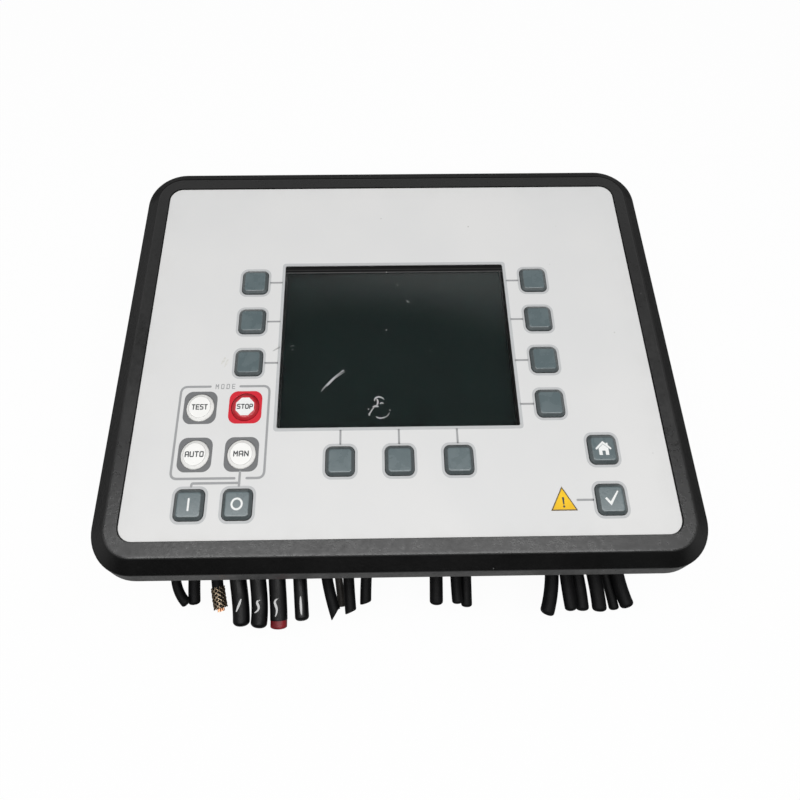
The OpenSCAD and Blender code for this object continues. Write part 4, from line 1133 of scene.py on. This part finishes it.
# %% Signs on the grey keys
SIGN_PEN, OPEN_RING, OPEN_SIDES = 0.9, (2.75, 1.85), 40
ROOF = [(-3.3, 0.1), (0, 3.0), (3.3, 0.1)]
WALLS = [
    (-2.3, -2.9), (-0.75, -2.9), (-0.75, -0.9), (0.75, -0.9), (0.75, -2.9), (2.3, -2.9),
    (2.3, 0.2), (0, 2.2), (-2.3, 0.2),
]
CHIMNEY = [(1.5, 1.2), (2.3, 0.6), (2.3, 2.7), (1.5, 2.7)]
TICK = [(-0.7, -2.9), (3.5, 3.3), (2.9, 3.6), (-0.8, -1.1), (-2.3, 0.75), (-3.2, 0.2)]
BAR = [(0, -2.4), (0, 2.4)]
SIGNS = {
    "key_home": (pen_line(ROOF, SIGN_PEN), WALLS, CHIMNEY),
    "key_check": (TICK,),
    "key_close": (pen_line(BAR, SIGN_PEN),),
}
sign_low = top_of("key_home") + INK_LIFT
sign_high = sign_low + INK_THICK
for key, outlines in SIGNS.items():
    shapes = [plate(o + key_at[key], sign_low, sign_high + k * STROKE_STEP) for k, o in enumerate(outlines)]
    sign(key, shapes, "white")
outer, inner = (regular(radius, OPEN_SIDES, 0, key_at["key_open"]) for radius in OPEN_RING)
sign("key_open", [ring(outer, inner, sign_low, sign_high)], "white")
print("signs:", *SIGNS, "key_open")

# %% The sign on the alarm lens
lens_low, lens_high = (np.array(corner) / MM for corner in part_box("alarm_lens"))
# A triangle of equal sides is one and a half radii high
LENS_R = (lens_high[1] - lens_low[1]) / 1.5
LENS_BORDER, POINT_R, POINT_DOWN = (0.99, 0.9), 0.5, 1.75
STEM = [(-0.28, -0.9), (0.28, -0.9), (0.5, 2.3), (-0.5, 2.3)]
lens_centre = np.array(((lens_low[0] + lens_high[0]) / 2, lens_low[1] + LENS_R / 2))
mark_low = lens_high[2] + INK_LIFT
mark_high = mark_low + INK_THICK
outer, inner = (regular(LENS_R * share, 3, 90, lens_centre) for share in LENS_BORDER)
point = regular(POINT_R, 20, 0, lens_centre - (0, POINT_DOWN))
mark = [ring(outer, inner, mark_low, mark_high)]
mark += [plate(outline, mark_low, mark_high) for outline in (STEM + lens_centre, point)]
piece("sign_alarm", mark, ink["dark"])
print("lens radius:", round(LENS_R, 2))

# %% [markdown]
# The pane carries marks of use: a short pale scratch of several strokes, a curl of old protective film and
# a few specks. They are drawn as thin strokes on the pane, in the pale grey that broken plastic shows.

# %% Marks on the pane
def scuffed(s):
    return {
        "Base Color": s.noise(0.7, 3).mix(grey(0.28), grey(0.6)),
        "Roughness": 0.5 + 0.2 * s.noise(1.0),
    }


scuff = finish("scuffed_plastic", scuffed)
PANE_LIFT, MARK_THICK = 0.005, 0.03
PANE_TOP = window_high[2] + PANE_LIFT
SCRATCH = [
    ([(-37.6, -26.3), (-32.6, -20.4), (-26.9, -15.8)], 0.55),
    ([(-34.2, -22.6), (-30.0, -18.9), (-25.9, -16.3)], 0.3),
    ([(-34.9, -23.6), (-32.9, -21.2), (-31.2, -19.5)], 0.95),
    ([(-28.2, -16.7), (-27.2, -15.8), (-26.4, -15.7)], 0.6),
]
CURL = [
    ([(-11.3, -31.5), (-10.8, -29.9), (-8.9, -29.4), (-6.7, -30.7)], 0.75),
    ([(-10.4, -30.3), (-9.8, -32.0), (-10.6, -34.0)], 0.85),
    ([(-8.8, -32.9), (-8.0, -32.4), (-7.0, -32.8)], 0.6),
    ([(-12.4, -34.5), (-11.0, -34.0), (-9.4, -34.3)], 0.9),
    ([(-11.6, -34.6), (-13.1, -36.4), (-14.0, -38.4)], 0.55),
    ([(-13.8, -37.2), (-14.0, -38.0), (-13.8, -38.6)], 0.8),
    ([(-10.8, -39.0), (-8.6, -39.9), (-5.4, -39.0)], 0.6),
    ([(-5.8, -39.2), (-4.9, -38.4), (-4.3, -37.2)], 0.35),
]
FAINT = [
    ([(-53.9, -2.6), (-52.8, -2.1), (-51.7, -2.4)], 0.09),
    ([(-53.4, -4.2), (-52.6, -4.4), (-51.9, -4.0)], 0.08),
    ([(6.2, 23.0), (6.6, 22.0), (7.6, 21.8)], 0.2),
]
SPECKS = [
    (-4.9, 6.0, 0.28), (1.5, 31.7, 0.2), (17.2, -5.5, 0.18), (-4.2, 39.7, 0.25),
    (-14.4, -35.4, 0.3), (-4.0, -36.0, 0.25),
]
marks = [
    plate(brush(points, width), PANE_TOP, PANE_TOP + MARK_THICK + k * STROKE_STEP)
    for k, (points, width) in enumerate(SCRATCH + CURL + FAINT)
]
marks += [plate(regular(r, 12, 0, (x, y)), PANE_TOP, PANE_TOP + INK_THICK) for x, y, r in SPECKS]
piece("pane_marks", marks, scuff)
print("marks on the pane:", len(marks))

# %% [markdown]
# The film has been rubbed too: a short grey scuff runs towards the display, and a faint smudge lies beside
# the lowest key on the left. Both are brush strokes a little darker than the film.

# %% Marks on the film
def rubbed_film(s, dark, light):
    return {
        "Base Color": s.noise(0.9, 3).ease(0.35, 0.65).mix((*dark, 1), (*light, 1)),
        "Roughness": 0.45 + 0.1 * s.noise(1.0),
    }


SCUFF = [([(-62.6, -5.1), (-60.9, -4.1), (-58.8, -2.8)], 0.75)]
SMUDGE = [
    ([(-87.8, -11.8), (-86.9, -10.0), (-86.2, -8.1)], 1.2),
    ([(-86.1, -13.2), (-85.3, -11.0), (-84.6, -9.2)], 1.3),
]
for name, strokes, tones in (
    ("film_scuff", SCUFF, ((0.36, 0.36, 0.36), (0.58, 0.58, 0.57))),
    ("film_smudge", SMUDGE, ((0.6, 0.595, 0.56), (0.69, 0.69, 0.67))),
):
    rubs = [plate(brush(points, width), INK_LOW, INK_HIGH) for points, width in strokes]
    piece(name, rubs, finish(name, rubbed_film, *tones))
print("marks on the film:", len(SCUFF) + len(SMUDGE))

# %% [markdown]
# Along its upper and right edges the pane carries painted shade: black strips that stand for the shadow
# of the window's recess on the display, and that hide the display's edge. Two fine lighter lines run
# across the upper band. They are painted highlights.

# %% Painted shade and highlights on the pane
def painted_shade_and_highlight(s, tone):
    return {
        "Base Color": s.noise(5).mix(grey(0.8 * tone), grey(1.2 * tone)),
        "Roughness": 0.5 + 0.1 * s.noise(8),
        "Specular IOR Level": 0.1,
    }


LEFT, BOTTOM, RIGHT, TOP = WINDOW
# Edges of the four strips along the top, painted shade and highlight by turns, counted down from the
# window's own edge
EDGES = (0, 2.1, 2.5, 3.7, 4.15)
SIDE_SHADE, STRIP_R = 0.9, 0.1


def strip(left, right, low, high):
    """A flat painted strip on the pane, with its corners eased."""
    outline = rounded_box(right - left, high - low, STRIP_R, ((left + right) / 2, (low + high) / 2))
    return plate(outline, PANE_TOP, PANE_TOP + MARK_THICK)


upper = [strip(LEFT, RIGHT, TOP - low, TOP - high) for high, low in zip(EDGES, EDGES[1:])]
side_strip = strip(RIGHT - SIDE_SHADE, RIGHT, BOTTOM, TOP - EDGES[-1])
# The black strips are painted shade. The dim strip and the grey strip are painted highlight lines along the
# top.
for name, tone_name, tone, strips in (
    ("pane_painted_shade", "painted_shade_black", 0.004, [upper[0], upper[2], side_strip]),
    ("pane_painted_highlight_inner", "painted_highlight_dim", 0.032, [upper[1]]),
    ("pane_painted_highlight_edge", "painted_highlight_grey", 0.095, [upper[3]]),
):
    piece(name, strips, finish(tone_name, painted_shade_and_highlight, tone))
print("border strips:", len(upper) + 1)

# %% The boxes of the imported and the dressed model
new_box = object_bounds()
grown = (*(cad_box[0] - new_box[0]), *(new_box[1] - cad_box[1]))
print("grown by (mm):", [round(float(v) / MM, 2) for v in grown])
